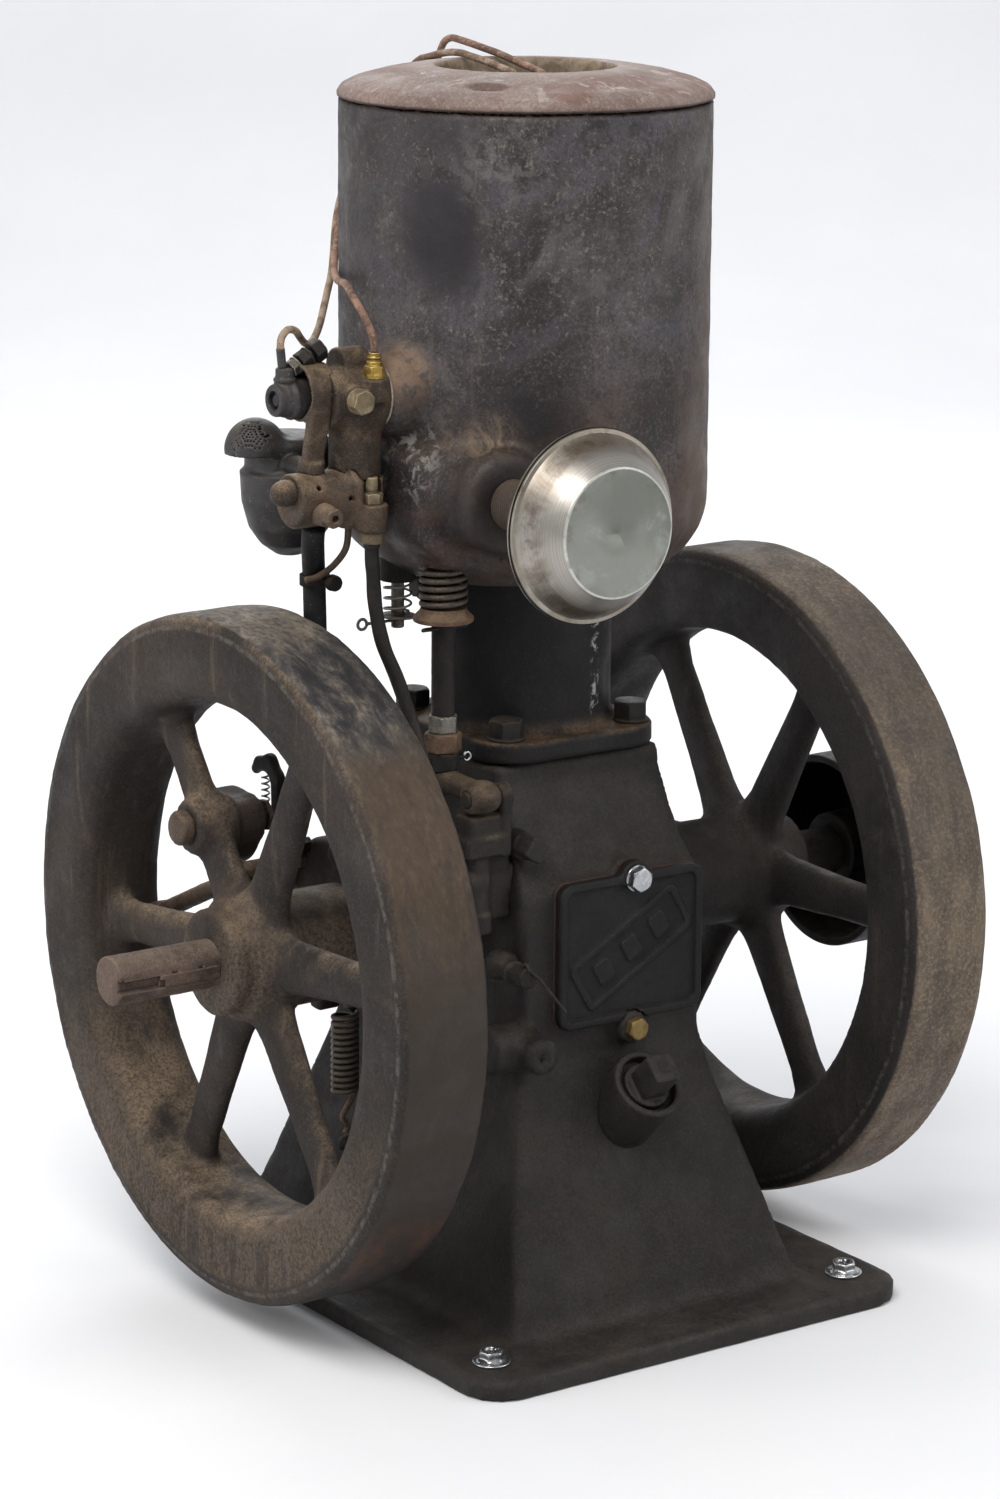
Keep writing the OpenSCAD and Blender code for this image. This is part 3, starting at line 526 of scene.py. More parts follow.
def tube(name, P, r, n=12, caps=True):
    """A round bar that follows the points P, in mm. r is a number or one for each point."""
    P = np.array(P, float)
    k = len(P)
    R = np.full(k, float(r)) if np.isscalar(r) else np.array(r, float)
    T = np.empty_like(P)
    T[1:-1] = P[2:] - P[:-2]
    T[0], T[-1] = P[1] - P[0], P[-1] - P[-2]
    T /= np.linalg.norm(T, axis=1)[:, None]
    u = np.array([0.31, 0.57, 0.76])
    A = np.arange(n) * 2 * math.pi / n
    rows = []
    for i in range(k):
        u = u - (u @ T[i]) * T[i]
        u = u / np.linalg.norm(u)
        w = np.cross(T[i], u)
        rows.append(P[i] + R[i] * (np.cos(A)[:, None] * u + np.sin(A)[:, None] * w))
    V = np.concatenate(rows)
    i, j = np.meshgrid(np.arange(k - 1), np.arange(n), indexing="ij")
    j2 = (j + 1) % n
    Q = np.stack([i * n + j, i * n + j2, (i + 1) * n + j2, (i + 1) * n + j], -1).reshape(-1, 4)
    if caps:
        V = np.concatenate([V, P[:1], P[-1:]])
        a, b = len(V) - 2, len(V) - 1
        j = np.arange(0, n, 2)
        c0 = np.stack([np.full(len(j), a), (j + 2) % n, (j + 1) % n, j], -1)
        c1 = np.stack([np.full(len(j), b), (k - 1) * n + j, (k - 1) * n + (j + 1) % n, (k - 1) * n + (j + 2) % n], -1)
        Q = np.concatenate([Q, c0, c1])
    ob = mesh_object(name, V, Q)
    mesh_attrs(ob)
    return ob


# ------------------------------------------------------------------ materials
class Nodes:
    """Short names for the shader nodes that the materials share."""

    def __init__(self, name):
        self.mat = bpy.data.materials.new(name)
        self.mat.use_nodes = True
        self.nt = self.mat.node_tree
        self.bsdf = self.nt.nodes["Principled BSDF"]
        self.co = self.new("ShaderNodeTexCoord").outputs["Object"]
        self.geo = self.new("ShaderNodeNewGeometry")

    def new(self, kind, **props):
        n = self.nt.nodes.new(kind)
        for k, v in props.items():
            setattr(n, k, v)
        return n

    def put(self, sock, v):
        if isinstance(v, bpy.types.NodeSocket):
            self.nt.links.new(v, sock)
        elif isinstance(v, (tuple, list)) and sock.type == "RGBA":
            sock.default_value = (*v, 1.0) if len(v) == 3 else v
        else:
            sock.default_value = v

    def scaled(self, s, shift=(0, 0, 0)):
        n = self.new("ShaderNodeMapping")
        self.put(n.inputs["Vector"], self.co)
        n.inputs["Scale"].default_value = s
        n.inputs["Location"].default_value = shift
        return n.outputs["Vector"]

    def noise(self, scale, detail=4.0, rough=0.55, dist=0.0, co=None, shift=None):
        n = self.new("ShaderNodeTexNoise")
        self.put(n.inputs["Vector"], co or (self.scaled((1, 1, 1), shift) if shift else self.co))
        n.inputs["Scale"].default_value = scale
        n.inputs["Detail"].default_value = detail
        n.inputs["Roughness"].default_value = rough
        n.inputs["Distortion"].default_value = dist
        return n.outputs["Fac"]

    def cells(self, scale, co=None, kind="F1"):
        n = self.new("ShaderNodeTexVoronoi", feature=kind)
        self.put(n.inputs["Vector"], co or self.co)
        n.inputs["Scale"].default_value = scale
        return n

    def step(self, v, a, b, lo=0.0, hi=1.0):
        n = self.new("ShaderNodeMapRange", interpolation_type="SMOOTHSTEP", clamp=True)
        self.put(n.inputs["Value"], v)
        n.inputs["From Min"].default_value = a
        n.inputs["From Max"].default_value = b
        n.inputs["To Min"].default_value = lo
        n.inputs["To Max"].default_value = hi
        return n.outputs["Result"]

    def m(self, op, a, b=None, c=None):
        n = self.new("ShaderNodeMath", operation=op)
        self.put(n.inputs[0], a)
        if b is not None:
            self.put(n.inputs[1], b)
        if c is not None:
            self.put(n.inputs[2], c)
        return n.outputs[0]

    def mul(self, *v):
        out = v[0]
        for w in v[1:]:
            out = self.m("MULTIPLY", out, w)
        return out

    def mix(self, a, b, fac):
        n = self.new("ShaderNodeMix", data_type="RGBA", blend_type="MIX")
        self.put(n.inputs["Factor"], fac)
        self.put(n.inputs["A"], a)
        self.put(n.inputs["B"], b)
        return n.outputs["Result"]

    def attr(self, name):
        return self.new("ShaderNodeAttribute", attribute_name=name).outputs["Fac"]

    def axis(self, v, i):
        n = self.new("ShaderNodeSeparateXYZ")
        self.put(n.inputs[0], v)
        return n.outputs[i]

    def bump(self, height, strength, distance):
        n = self.new("ShaderNodeBump")
        n.inputs["Strength"].default_value = strength
        n.inputs["Distance"].default_value = distance
        self.put(n.inputs["Height"], height)
        self.put(self.bsdf.inputs["Normal"], n.outputs["Normal"])

    def near(self, p, r0, r1):
        """1 inside r0 of the point p, 0 outside r1, in metres."""
        n = self.new("ShaderNodeVectorMath", operation="DISTANCE")
        self.put(n.inputs[0], self.co)
        n.inputs[1].default_value = p
        return self.step(n.outputs["Value"], r0, r1, 1.0, 0.0)


def lin(r, g, b):
    """Linear colour from 0 to 255 screen values."""
    return tuple((c / 255 / 12.92) if c <= 10.3 else ((c / 255 + 0.055) / 1.055) ** 2.4 for c in (r, g, b))


def iron(name, base, dark, light, rust=0.3, dust=0.3, speck=0.2, streaks_and_highlight=0.0, metallic=0.2, rough=(0.55, 0.8),
         bump=0.35, edge=None, edge_amt=0.5, cav=None, cav_amt=0.4, rust_a=(104, 62, 38), rust_b=(66, 38, 28),
         dust_col=(122, 104, 86), grain=520.0, size=1.0, extra=None, speck_col=(150, 144, 134), dist=0.0009):
    """Old painted, rusted and dusty metal, with painted shade darkening its hollows. Colours are screen values."""
    N = Nodes(name)
    s = 1.0 / size
    n1 = N.noise(8.5 * s, 5, 0.6, 0.4)
    n2 = N.noise(34 * s, 7, 0.66, 0.3, shift=(0.37, 0.11, 0.71))
    n3 = N.noise(190 * s, 5, 0.7, shift=(0.13, 0.57, 0.29))
    col = N.mix(lin(*base), lin(*dark), N.step(n1, 0.40, 0.62))
    col = N.mix(col, lin(*light), N.mul(N.step(n2, 0.50, 0.74), 0.62))
    col = N.mix(col, lin(*dark), N.mul(N.step(n3, 0.50, 0.68), 0.45))
    n8 = N.noise(560 * s, 5, 0.78, 0.3, shift=(0.21, 0.77, 0.43))
    col = N.mix(col, lin(*light), N.mul(N.step(n8, 0.52, 0.64), 0.5))
    col = N.mix(col, lin(*dark), N.mul(N.step(n8, 0.38, 0.48, 1.0, 0.0), 0.55))
    rr = N.mix(lin(*rust_a), lin(*rust_b), N.step(n3, 0.38, 0.60))
    rm = None
    if rust > 0:
        rn = N.noise(13 * s, 9, 0.72, 0.6, shift=(0.91, 0.23, 0.47))
        rm = N.mul(N.step(rn, 0.66 - 0.26 * rust, 0.80 - 0.22 * rust), min(1.0, 0.45 + rust * 0.5))
        col = N.mix(col, rr, rm)
    if streaks_and_highlight > 0:
        sn = N.noise(1.0, 6, 0.62, 0.2, co=N.scaled((130 * s, 130 * s, 9 * s)))
        col = N.mix(col, lin(*dark), N.mul(N.step(sn, 0.52, 0.68), streaks_and_highlight))
        s2 = N.noise(1.0, 6, 0.62, 0.2, co=N.scaled((90 * s, 90 * s, 7 * s), (3.1, 1.7, 0.4)))
        col = N.mix(col, lin(*dust_col), N.mul(N.step(s2, 0.56, 0.72), streaks_and_highlight * 0.6))
    # The cav colour is laid into hollows and creases: painted shade where it is darker than the metal, dust where it is
    # lighter.
    if cav is not None:
        col = N.mix(col, lin(*cav), N.mul(N.step(N.m("ADD", N.attr("cav"), N.mul(n2, 0.25)), 0.22, 0.66), cav_amt))
    up = N.step(N.axis(N.geo.outputs["Normal"], 2), 0.05, 0.95)
    if dust > 0:
        dn = N.step(N.noise(22 * s, 7, 0.7, shift=(0.5, 0.9, 0.1)), 0.34, 0.64)
        dm = N.mul(up, dn, N.step(n8, 0.40, 0.56, 0.35, 1.0), dust)
        col = N.mix(col, lin(*dust_col), dm)
    if speck > 0:
        vo = N.cells(300 * s)
        sp = N.mul(N.step(vo.outputs["Distance"], 0.12, 0.22, 1.0, 0.0), N.step(N.axis(vo.outputs["Color"], 0), 0.80 - 0.4 * speck, 0.92 - 0.4 * speck),
                   N.step(n2, 0.42, 0.58))
        col = N.mix(col, lin(*speck_col), N.mul(sp, 0.8))
    if edge is not None:
        em = N.mul(N.step(N.m("ADD", N.attr("edge"), N.mul(N.m("SUBTRACT", n3, 0.5), 0.35)), 0.10, 0.34), edge_amt)
        col = N.mix(col, lin(*edge), em)
    if extra:
        col = extra(N, col, n1, n2, n3)
    N.put(N.bsdf.inputs["Base Color"], col)
    r = N.step(n2, 0.3, 0.7, rough[0], rough[1])
    if rm is not None:
        r = N.m("MAXIMUM", r, N.mul(rm, 0.82))
    N.put(N.bsdf.inputs["Roughness"], r)
    N.bsdf.inputs["Metallic"].default_value = metallic
    N.bsdf.inputs["Specular IOR Level"].default_value = 0.3
    g = N.noise(grain, 3, 0.6)
    h = N.m("ADD", N.m("ADD", N.m("ADD", N.mul(g, 0.45), N.mul(n3, 0.9)), N.mul(n2, 0.9)), N.mul(n8, 0.7))
    if rm is not None:
        h = N.m("ADD", h, N.mul(rm, N.m("ADD", n3, -0.2), 0.9))
    N.bump(h, bump, dist)
    return N.mat


M = {}


def zone(N, col, colour, mask, amount, n=None, a=0.36, b=0.60):
    """Mix in a colour inside a mask, broken up by a noise."""
    k = N.mul(mask, amount) if n is None else N.mul(mask, N.step(n, a, b), amount)
    return N.mix(col, lin(*colour), k)


def wheel_extra(left):
    def ex(N, col, n1, n2, n3):
        dy = N.m("SUBTRACT", N.axis(N.co, 1), 0.013)
        dz = N.m("SUBTRACT", N.axis(N.co, 2), 0.223)
        rad = N.m("SQRT", N.m("ADD", N.mul(dy, dy), N.mul(dz, dz)))
        n4 = N.noise(55, 8, 0.74, 0.8, shift=(0.2, 0.8, 0.5))
        n5 = N.noise(5.0, 4, 0.6, 0.5, shift=(0.6, 0.3, 0.9))
        tread = N.step(rad, 0.2036, 0.2052)
        hi = N.step(N.m("ADD", dz, N.mul(n5, 0.10)), 0.05, 0.17)
        lo = N.step(N.m("ADD", dz, N.mul(n5, 0.10)), -0.13, -0.02, 1.0, 0.0)
        n6 = N.noise(150, 8, 0.76, 0.4, shift=(0.4, 0.1, 0.6))
        n7 = N.noise(430, 5, 0.78, 0.2, shift=(0.9, 0.4, 0.1))
        if left:
            top = N.step(N.m("ADD", dz, N.mul(N.m("SUBTRACT", n5, 0.5), 0.06)), 0.138, 0.168)
            band = N.mul(N.step(dz, 0.00, 0.10), N.m("SUBTRACT", 1.0, top))
            nt = N.noise(1.0, 7, 0.72, 0.3, co=N.scaled((60, 26, 26)))
            nu = N.noise(1.0, 6, 0.74, 0.2, co=N.scaled((260, 120, 120), (0.4, 1.3, 0.7)))
            col = zone(N, col, (56, 49, 43), tread, 0.9)
            col = zone(N, col, (84, 69, 55), N.mul(tread, band), 0.8, nt, 0.30, 0.66)
            col = zone(N, col, (104, 88, 70), N.mul(tread, band), 0.45, nu, 0.46, 0.70)
            col = zone(N, col, (40, 35, 33), tread, 0.5, nt, 0.54, 0.70)
            col = zone(N, col, (66, 64, 65), N.mul(tread, top), 0.85)
            col = zone(N, col, (36, 35, 37), N.mul(tread, top), 0.8, nt, 0.44, 0.62)
            col = zone(N, col, (142, 130, 112), N.mul(tread, top, N.step(nt, 0.56, 0.36)), 0.75, nu, 0.34, 0.66)
            col = zone(N, col, (150, 138, 120), N.mul(tread, N.step(dz, 0.196, 0.203)), 0.45, nu, 0.30, 0.62)
            col = zone(N, col, (32, 28, 26), N.mul(tread, lo), 0.85)
            col = zone(N, col, (92, 58, 40), N.mul(tread, N.step(dz, -0.168, -0.150), N.step(dz, -0.108, -0.128)), 0.4, nt, 0.40, 0.66)
        else:
            nt = N.noise(1.0, 7, 0.72, 0.3, co=N.scaled((60, 20, 20)))
            col = zone(N, col, (84, 74, 65), tread, 0.9)
            col = zone(N, col, (130, 116, 97), tread, 0.7, n7, 0.46, 0.62)
            col = zone(N, col, (134, 117, 95), tread, 0.5, nt, 0.42, 0.72)
            col = zone(N, col, (66, 58, 52), tread, 0.45, nt, 0.52, 0.32)
            col = zone(N, col, (56, 50, 47), tread, 0.5, n4, 0.56, 0.68)
            col = zone(N, col, (64, 60, 58), N.mul(tread, hi), 0.5, n5, 0.40, 0.56)
            col = zone(N, col, (110, 68, 44), N.mul(tread, lo), 0.3, n4, 0.48, 0.62)
        # Lighter ring on the rounded edge between the rim face and the tread: a painted highlight.
        rim_edge_highlight = N.mul(N.step(rad, 0.1962, 0.1976), N.step(rad, 0.1988, 0.2004, 1.0, 0.0))
        col = zone(N, col, (150, 142, 132) if left else (128, 120, 110), rim_edge_highlight, 0.22, n6, 0.40, 0.62)
        rimf = N.mul(N.step(rad, 0.156, 0.162), N.step(rad, 0.192, 0.197, 1.0, 0.0))
        col = zone(N, col, (120, 103, 84) if left else (58, 51, 46), N.mul(rimf, N.step(dz, -0.15, -0.02, 1.0, 0.0)), 0.6, n7, 0.34, 0.70)
        drip = N.noise(1.0, 4, 0.6, 0.0, co=N.scaled((40, 150, 12)))
        col = zone(N, col, (38, 33, 31), N.mul(rimf, N.step(dz, -0.185, -0.14, 1.0, 0.0)), 0.6, drip, 0.50, 0.60)
        hub = N.step(rad, 0.034, 0.044, 1.0, 0.0)
        col = zone(N, col, (118, 101, 84) if left else (44, 40, 38), hub, 0.6 if left else 0.85, n7 if left else n6, 0.34, 0.70)
        inner = N.mul(N.step(rad, 0.150, 0.158), N.step(rad, 0.166, 0.160))
        col = zone(N, col, (46, 41, 39) if left else (34, 31, 31), N.mul(inner, N.step(dz, -0.15, -0.02, 1.0, 0.0)), 0.0 if left else 0.7)
        return zone(N, col, (36, 31, 28), hub, 0.8, n5, 0.50, 0.60)
    return ex


def hopper_extra(N, col, n1, n2, n3):
    x, y, z = N.axis(N.co, 0), N.axis(N.co, 1), N.axis(N.co, 2)
    rad = N.m("SQRT", N.m("ADD", N.mul(x, x), N.mul(y, y)))
    n4 = N.noise(46, 8, 0.74, 0.9, shift=(0.7, 0.2, 0.5))
    n5 = N.noise(12, 5, 0.62, 0.8, shift=(0.3, 0.6, 0.2))
    n6 = N.noise(110, 6, 0.7, 0.6, shift=(0.1, 0.5, 0.8))
    n7 = N.noise(300, 6, 0.76, 0.3, shift=(0.9, 0.4, 0.1))
    wall = N.step(z, 0.54, 0.60)
    col = zone(N, col, (92, 89, 97), N.mul(wall, N.step(n5, 0.42, 0.58)), 0.7, n4, 0.38, 0.58)
    col = zone(N, col, (136, 128, 120), wall, 0.6, n7, 0.52, 0.66)
    col = zone(N, col, (38, 34, 35), N.step(n4, 0.46, 0.60), 0.65, n7, 0.44, 0.56)
    col = zone(N, col, (78, 60, 50), N.step(z, 0.60, 0.52), 0.55, n5, 0.42, 0.60)
    col = zone(N, col, (104, 84, 68), N.step(x, 0.02, 0.09), 0.5, n6, 0.46, 0.62)
    col = zone(N, col, (50, 46, 46), N.mul(N.step(z, 0.60, 0.66), N.step(x, -0.070, -0.095)), 0.55, n4, 0.34, 0.54)
    col = zone(N, col, (46, 43, 47), wall, 0.5, n5, 0.54, 0.68)
    col = zone(N, col, (112, 107, 108), wall, 0.4, n5, 0.46, 0.32)
    col = zone(N, col, (40, 37, 41), N.near((-0.096, -0.053, 0.655), 0.014, 0.038), 0.88, n4, 0.16, 0.42)
    col = zone(N, col, (40, 37, 41), N.near((-0.095, -0.056, 0.632), 0.010, 0.030), 0.75, n4, 0.20, 0.46)
    col = zone(N, col, (40, 37, 40), N.near((-0.060, -0.092, 0.545), 0.008, 0.040), 0.7, n4, 0.36, 0.54)
    col = zone(N, col, (112, 108, 104), N.near((-0.075, -0.080, 0.690), 0.006, 0.036), 0.5, n6, 0.44, 0.58)
    # Bright pale spot on the top of the chest, on the left: a painted highlight.
    col = zone(N, col, (160, 156, 152), N.near((-0.100, -0.040, 0.515), 0.008, 0.034), 0.75, n6, 0.50, 0.60)
    col = zone(N, col, (136, 110, 86), N.near((-0.108, -0.031, 0.567), 0.010, 0.026), 0.8, n6, 0.30, 0.56)
    col = zone(N, col, (106, 92, 78), N.step(x, 0.03, 0.085), 0.45, n5, 0.40, 0.60)
    col = zone(N, col, (138, 112, 88), N.near((-0.085, -0.035, 0.530), 0.012, 0.040), 0.5, n4, 0.44, 0.62)
    col = zone(N, col, (40, 35, 34), N.near((-0.080, -0.092, 0.497), 0.020, 0.042), 0.9, n4, 0.26, 0.42)
    col = zone(N, col, (132, 112, 92), N.near((-0.080, -0.082, 0.533), 0.006, 0.024), 0.7, n4, 0.40, 0.58)
    col = zone(N, col, (40, 32, 28), N.step(z, 0.7165, 0.7188), 0.9)
    low = N.mul(N.step(z, 0.440, 0.475, 1.0, 0.0), N.step(x, -0.06, -0.02))
    col = zone(N, col, (42, 38, 38), low, 0.6)
    inside = N.mul(N.step(rad, 0.1052, 0.1062, 1.0, 0.0), N.step(z, 0.600, 0.605))
    return zone(N, zone(N, col, (196, 166, 134), inside, 0.95), (120, 88, 66), inside, 0.6, n4, 0.44, 0.62)


def lid_extra(N, col, n1, n2, n3):
    x, y, z = N.axis(N.co, 0), N.axis(N.co, 1), N.axis(N.co, 2)
    rad = N.m("SQRT", N.m("ADD", N.mul(x, x), N.mul(y, y)))
    n4 = N.noise(60, 8, 0.74, 0.9, shift=(0.7, 0.2, 0.5))
    n5 = N.noise(16, 6, 0.66, 0.8, shift=(0.3, 0.6, 0.2))
    col = zone(N, col, (106, 74, 64), N.step(z, 0.722, 0.728), 0.6, n5, 0.46, 0.62)
    col = zone(N, col, (176, 164, 158), N.step(z, 0.722, 0.728), 0.6, n4, 0.54, 0.64)
    col = zone(N, col, (92, 74, 66), N.near((-0.0660, -0.0560, 0.7315), 0.003, 0.014), 0.5, n4, 0.26, 0.50)
    col = zone(N, col, (150, 142, 132), N.step(rad, 0.060, 0.080, 1.0, 0.0), 0.45, n5, 0.30, 0.60)
    col = zone(N, col, (46, 34, 30), N.step(z, 0.7206, 0.7222, 1.0, 0.0), 0.85)
    inside = N.mul(N.step(rad, 0.0530, 0.0538, 1.0, 0.0), N.step(z, 0.7376, 0.7384, 1.0, 0.0))
    return zone(N, zone(N, col, (146, 130, 110), inside, 0.9), (84, 70, 60), inside, 0.7, n4, 0.38, 0.60)


def cylinder_extra(N, col, n1, n2, n3):
    x, y, z = N.axis(N.co, 0), N.axis(N.co, 1), N.axis(N.co, 2)
    n4 = N.noise(120, 7, 0.74, 0.8, shift=(0.7, 0.2, 0.5))
    ang = N.m("ARCTAN2", y, x)
    # Light vertical band on the right of the barrel: a painted highlight.
    streaks_and_highlight = N.mul(N.step(ang, -1.34, -1.27), N.step(ang, -1.20, -1.14, 1.0, 0.0), N.step(z, 0.352, 0.362))
    return zone(N, col, (172, 170, 168), streaks_and_highlight, 0.75, n4, 0.52, 0.58)


# Where a cav colour below is darker than its base it is painted shade in the hollows; where it is lighter it is dust.
M["wheel"] = iron("wheel_casting", (54, 47, 43), (34, 30, 28), (78, 68, 59), rust=0.1, dust=0.85, speck=0.0, streaks_and_highlight=0.25,
                  metallic=0.12, rough=(0.58, 0.88), bump=0.7, edge=(92, 84, 75), edge_amt=0.3, cav=(58, 48, 40), cav_amt=0.3,
                  dust_col=(146, 126, 104), rust_a=(92, 66, 48), rust_b=(64, 46, 38), extra=wheel_extra(True))
M["wheel_r"] = iron("wheel_casting_right", (42, 38, 37), (28, 26, 25), (60, 55, 51), rust=0.05, dust=0.5, speck=0.0, streaks_and_highlight=0.2,
                    metallic=0.12, rough=(0.55, 0.85), bump=0.65, edge=(78, 72, 66), edge_amt=0.3, cav=(40, 34, 30), cav_amt=0.35,
                    dust_col=(98, 86, 74), rust_a=(84, 62, 46), rust_b=(60, 44, 36), extra=wheel_extra(False))
M["frame"] = iron("frame_casting", (42, 39, 37), (28, 26, 25), (58, 53, 49), rust=0.05, dust=0.25, speck=0.0, metallic=0.15,
                  rough=(0.46, 0.78), bump=0.6, edge=(76, 70, 64), edge_amt=0.25, cav=(32, 28, 26), cav_amt=0.45,
                  dust_col=(96, 84, 74), grain=620, rust_a=(80, 60, 46), rust_b=(58, 44, 36))
M["cover"] = iron("cover_casting", (24, 23, 23), (15, 14, 15), (40, 37, 36), rust=0.06, dust=0.12, speck=0.0, metallic=0.12,
                  rough=(0.48, 0.78), bump=0.7, edge=(88, 82, 78), edge_amt=0.5, cav=(14, 12, 12), cav_amt=0.7,
                  dust_col=(74, 62, 54), rust_a=(70, 50, 40), rust_b=(48, 37, 31))
M["cylinder"] = iron("cylinder_casting", (25, 23, 23), (15, 14, 14), (42, 38, 37), rust=0.04, dust=0.9, speck=0.0, metallic=0.12,
                     rough=(0.48, 0.78), bump=0.45, edge=(66, 60, 54), edge_amt=0.3, cav=(40, 32, 26), cav_amt=0.35,
                     dust_col=(112, 90, 68), extra=cylinder_extra)
M["hopper"] = iron("hopper_casting", (78, 73, 72), (42, 39, 39), (108, 102, 99), rust=0.14, dust=0.3, speck=0.0, metallic=0.3,
                   rough=(0.42, 0.74), bump=0.42, edge=(122, 114, 104), edge_amt=0.35, cav=(46, 39, 35), cav_amt=0.55,
                   rust_a=(108, 84, 64), rust_b=(70, 56, 48), streaks_and_highlight=0.22, dust_col=(126, 108, 90), extra=hopper_extra)
M["lid"] = iron("lid_casting", (132, 115, 108), (98, 80, 73), (158, 146, 136), rust=0.22, dust=0.3, speck=0.0, metallic=0.08,
                rough=(0.55, 0.82), bump=0.4, edge=(112, 88, 80), edge_amt=0.35, cav=(70, 50, 44), cav_amt=0.5,
                rust_a=(132, 94, 78), rust_b=(100, 70, 60), dust_col=(160, 146, 138), extra=lid_extra)
M["brown"] = iron("brown_fitting", (82, 68, 57), (44, 37, 32), (120, 102, 82), rust=0.3, dust=0.75, speck=0.15, metallic=0.2,
                  rough=(0.5, 0.8), bump=0.5, edge=(140, 120, 96), edge_amt=0.5, cav=(36, 29, 24), cav_amt=0.65, size=0.45, dist=0.0006, dust_col=(152, 130, 104))
M["dark"] = iron("dark_fitting", (36, 33, 31), (22, 20, 19), (58, 52, 47), rust=0.15, dust=0.35, speck=0.0, metallic=0.25,
                 rough=(0.45, 0.75), bump=0.45, edge=(88, 80, 70), edge_amt=0.4, cav=(22, 19, 17), cav_amt=0.6, size=0.45, dist=0.0006,
                 dust_col=(104, 90, 74))
M["rusty"] = iron("rusty_steel", (100, 78, 62), (58, 44, 36), (140, 118, 96), rust=0.45, dust=0.35, speck=0.0, metallic=0.3,
                  rough=(0.5, 0.85), bump=0.6, edge=(164, 144, 120), edge_amt=0.5, cav=(48, 34, 27), cav_amt=0.5, size=0.3, dist=0.0005,
                  rust_a=(122, 82, 54), rust_b=(78, 52, 38), dust_col=(150, 130, 106))
M["steel"] = iron("worn_steel", (112, 108, 102), (66, 60, 54), (160, 156, 148), rust=0.35, dust=0.2, speck=0.2, metallic=0.75,
                  rough=(0.3, 0.6), bump=0.4, edge=(182, 176, 166), edge_amt=0.5, cav=(66, 50, 38), cav_amt=0.6, size=0.3, dist=0.0004,
                  rust_a=(116, 78, 50), rust_b=(80, 54, 40))
M["zinc"] = iron("zinc_plate", (196, 198, 200), (150, 152, 156), (222, 222, 222), rust=0.0, dust=0.0, speck=0.0, metallic=0.95,
                 rough=(0.18, 0.34), bump=0.12, edge=(236, 236, 236), edge_amt=0.4, cav=(110, 108, 104), cav_amt=0.4, size=0.2, dist=0.0002)
M["brass"] = iron("aged_brass", (128, 108, 66), (78, 64, 40), (172, 150, 92), rust=0.1, dust=0.3, speck=0.2, metallic=0.7,
                  rough=(0.34, 0.6), bump=0.3, edge=(190, 168, 108), edge_amt=0.6, cav=(54, 44, 28), cav_amt=0.6, size=0.3, dist=0.0004)
M["bakelite"] = iron("black_moulding", (52, 50, 51), (32, 31, 32), (78, 74, 70), rust=0.0, dust=0.4, speck=0.15, metallic=0.0,
                     rough=(0.35, 0.6), bump=0.3, edge=(64, 60, 56), edge_amt=0.4, cav=(24, 20, 18), cav_amt=0.4, size=0.4,
                     dust_col=(96, 84, 70), dist=0.0004)
M["rubber"] = iron("black_hose", (30, 30, 31), (20, 20, 21), (46, 45, 44), rust=0.0, dust=0.35, speck=0.1, metallic=0.0,
                   rough=(0.5, 0.75), bump=0.4, size=0.4, dust_col=(86, 76, 66), dist=0.0004)
M["brown_dark"] = iron("brown_casting_dark", (60, 50, 45), (38, 32, 30), (84, 71, 61), rust=0.2, dust=0.45, speck=0.0, metallic=0.15,
                       rough=(0.55, 0.85), bump=0.55, edge=(92, 80, 68), edge_amt=0.3, cav=(32, 27, 24), cav_amt=0.5, size=0.7, dist=0.0007,
                       rust_a=(84, 60, 46), rust_b=(58, 43, 36), dust_col=(112, 94, 78))
M["lever"] = iron("lever_forging", (78, 65, 54), (44, 37, 32), (110, 94, 77), rust=0.12, dust=0.7, speck=0.0, metallic=0.2,
                  rough=(0.5, 0.8), bump=0.45, edge=(112, 96, 78), edge_amt=0.3, cav=(34, 28, 24), cav_amt=0.6, size=0.5, dist=0.0006,
                  dust_col=(130, 112, 90), rust_a=(96, 68, 48), rust_b=(62, 46, 38))
M["bracket"] = iron("bracket_casting", (40, 36, 33), (26, 23, 21), (58, 51, 46), rust=0.08, dust=0.8, speck=0.0, metallic=0.15,
                    rough=(0.5, 0.82), bump=0.5, edge=(80, 71, 62), edge_amt=0.3, cav=(24, 21, 19), cav_amt=0.6, size=0.5, dist=0.0006,
                    dust_col=(116, 99, 80), rust_a=(84, 62, 46), rust_b=(56, 43, 36))
# The light edge colour gives the coil bright flecks: partly worn edges, partly painted glints.
M["spring"] = iron("spring_steel", (40, 31, 27), (23, 19, 17), (76, 64, 55), rust=0.3, dust=0.1, speck=0.0, metallic=0.5,
                   rough=(0.36, 0.62), bump=0.5, edge=(150, 138, 122), edge_amt=0.4, cav=(28, 22, 19), cav_amt=0.5, size=0.25, dist=0.0003,
                   rust_a=(88, 60, 44), rust_b=(54, 39, 32))
M["pale"] = iron("pale_nut", (142, 127, 102), (92, 80, 62), (176, 162, 134), rust=0.15, dust=0.3, speck=0.0, metallic=0.35,
                 rough=(0.4, 0.66), bump=0.4, edge=(186, 172, 144), edge_amt=0.5, cav=(50, 40, 30), cav_amt=0.6, size=0.3, dist=0.0004,
                 rust_a=(110, 82, 56), rust_b=(76, 58, 42), dust_col=(150, 132, 106))
M["brass_bright"] = iron("bright_brass", (190, 158, 76), (120, 96, 48), (218, 190, 110), rust=0.05, dust=0.2, speck=0.0, metallic=0.75,
                         rough=(0.3, 0.5), bump=0.25, edge=(228, 204, 130), edge_amt=0.5, cav=(70, 54, 28), cav_amt=0.5, size=0.3, dist=0.0003)
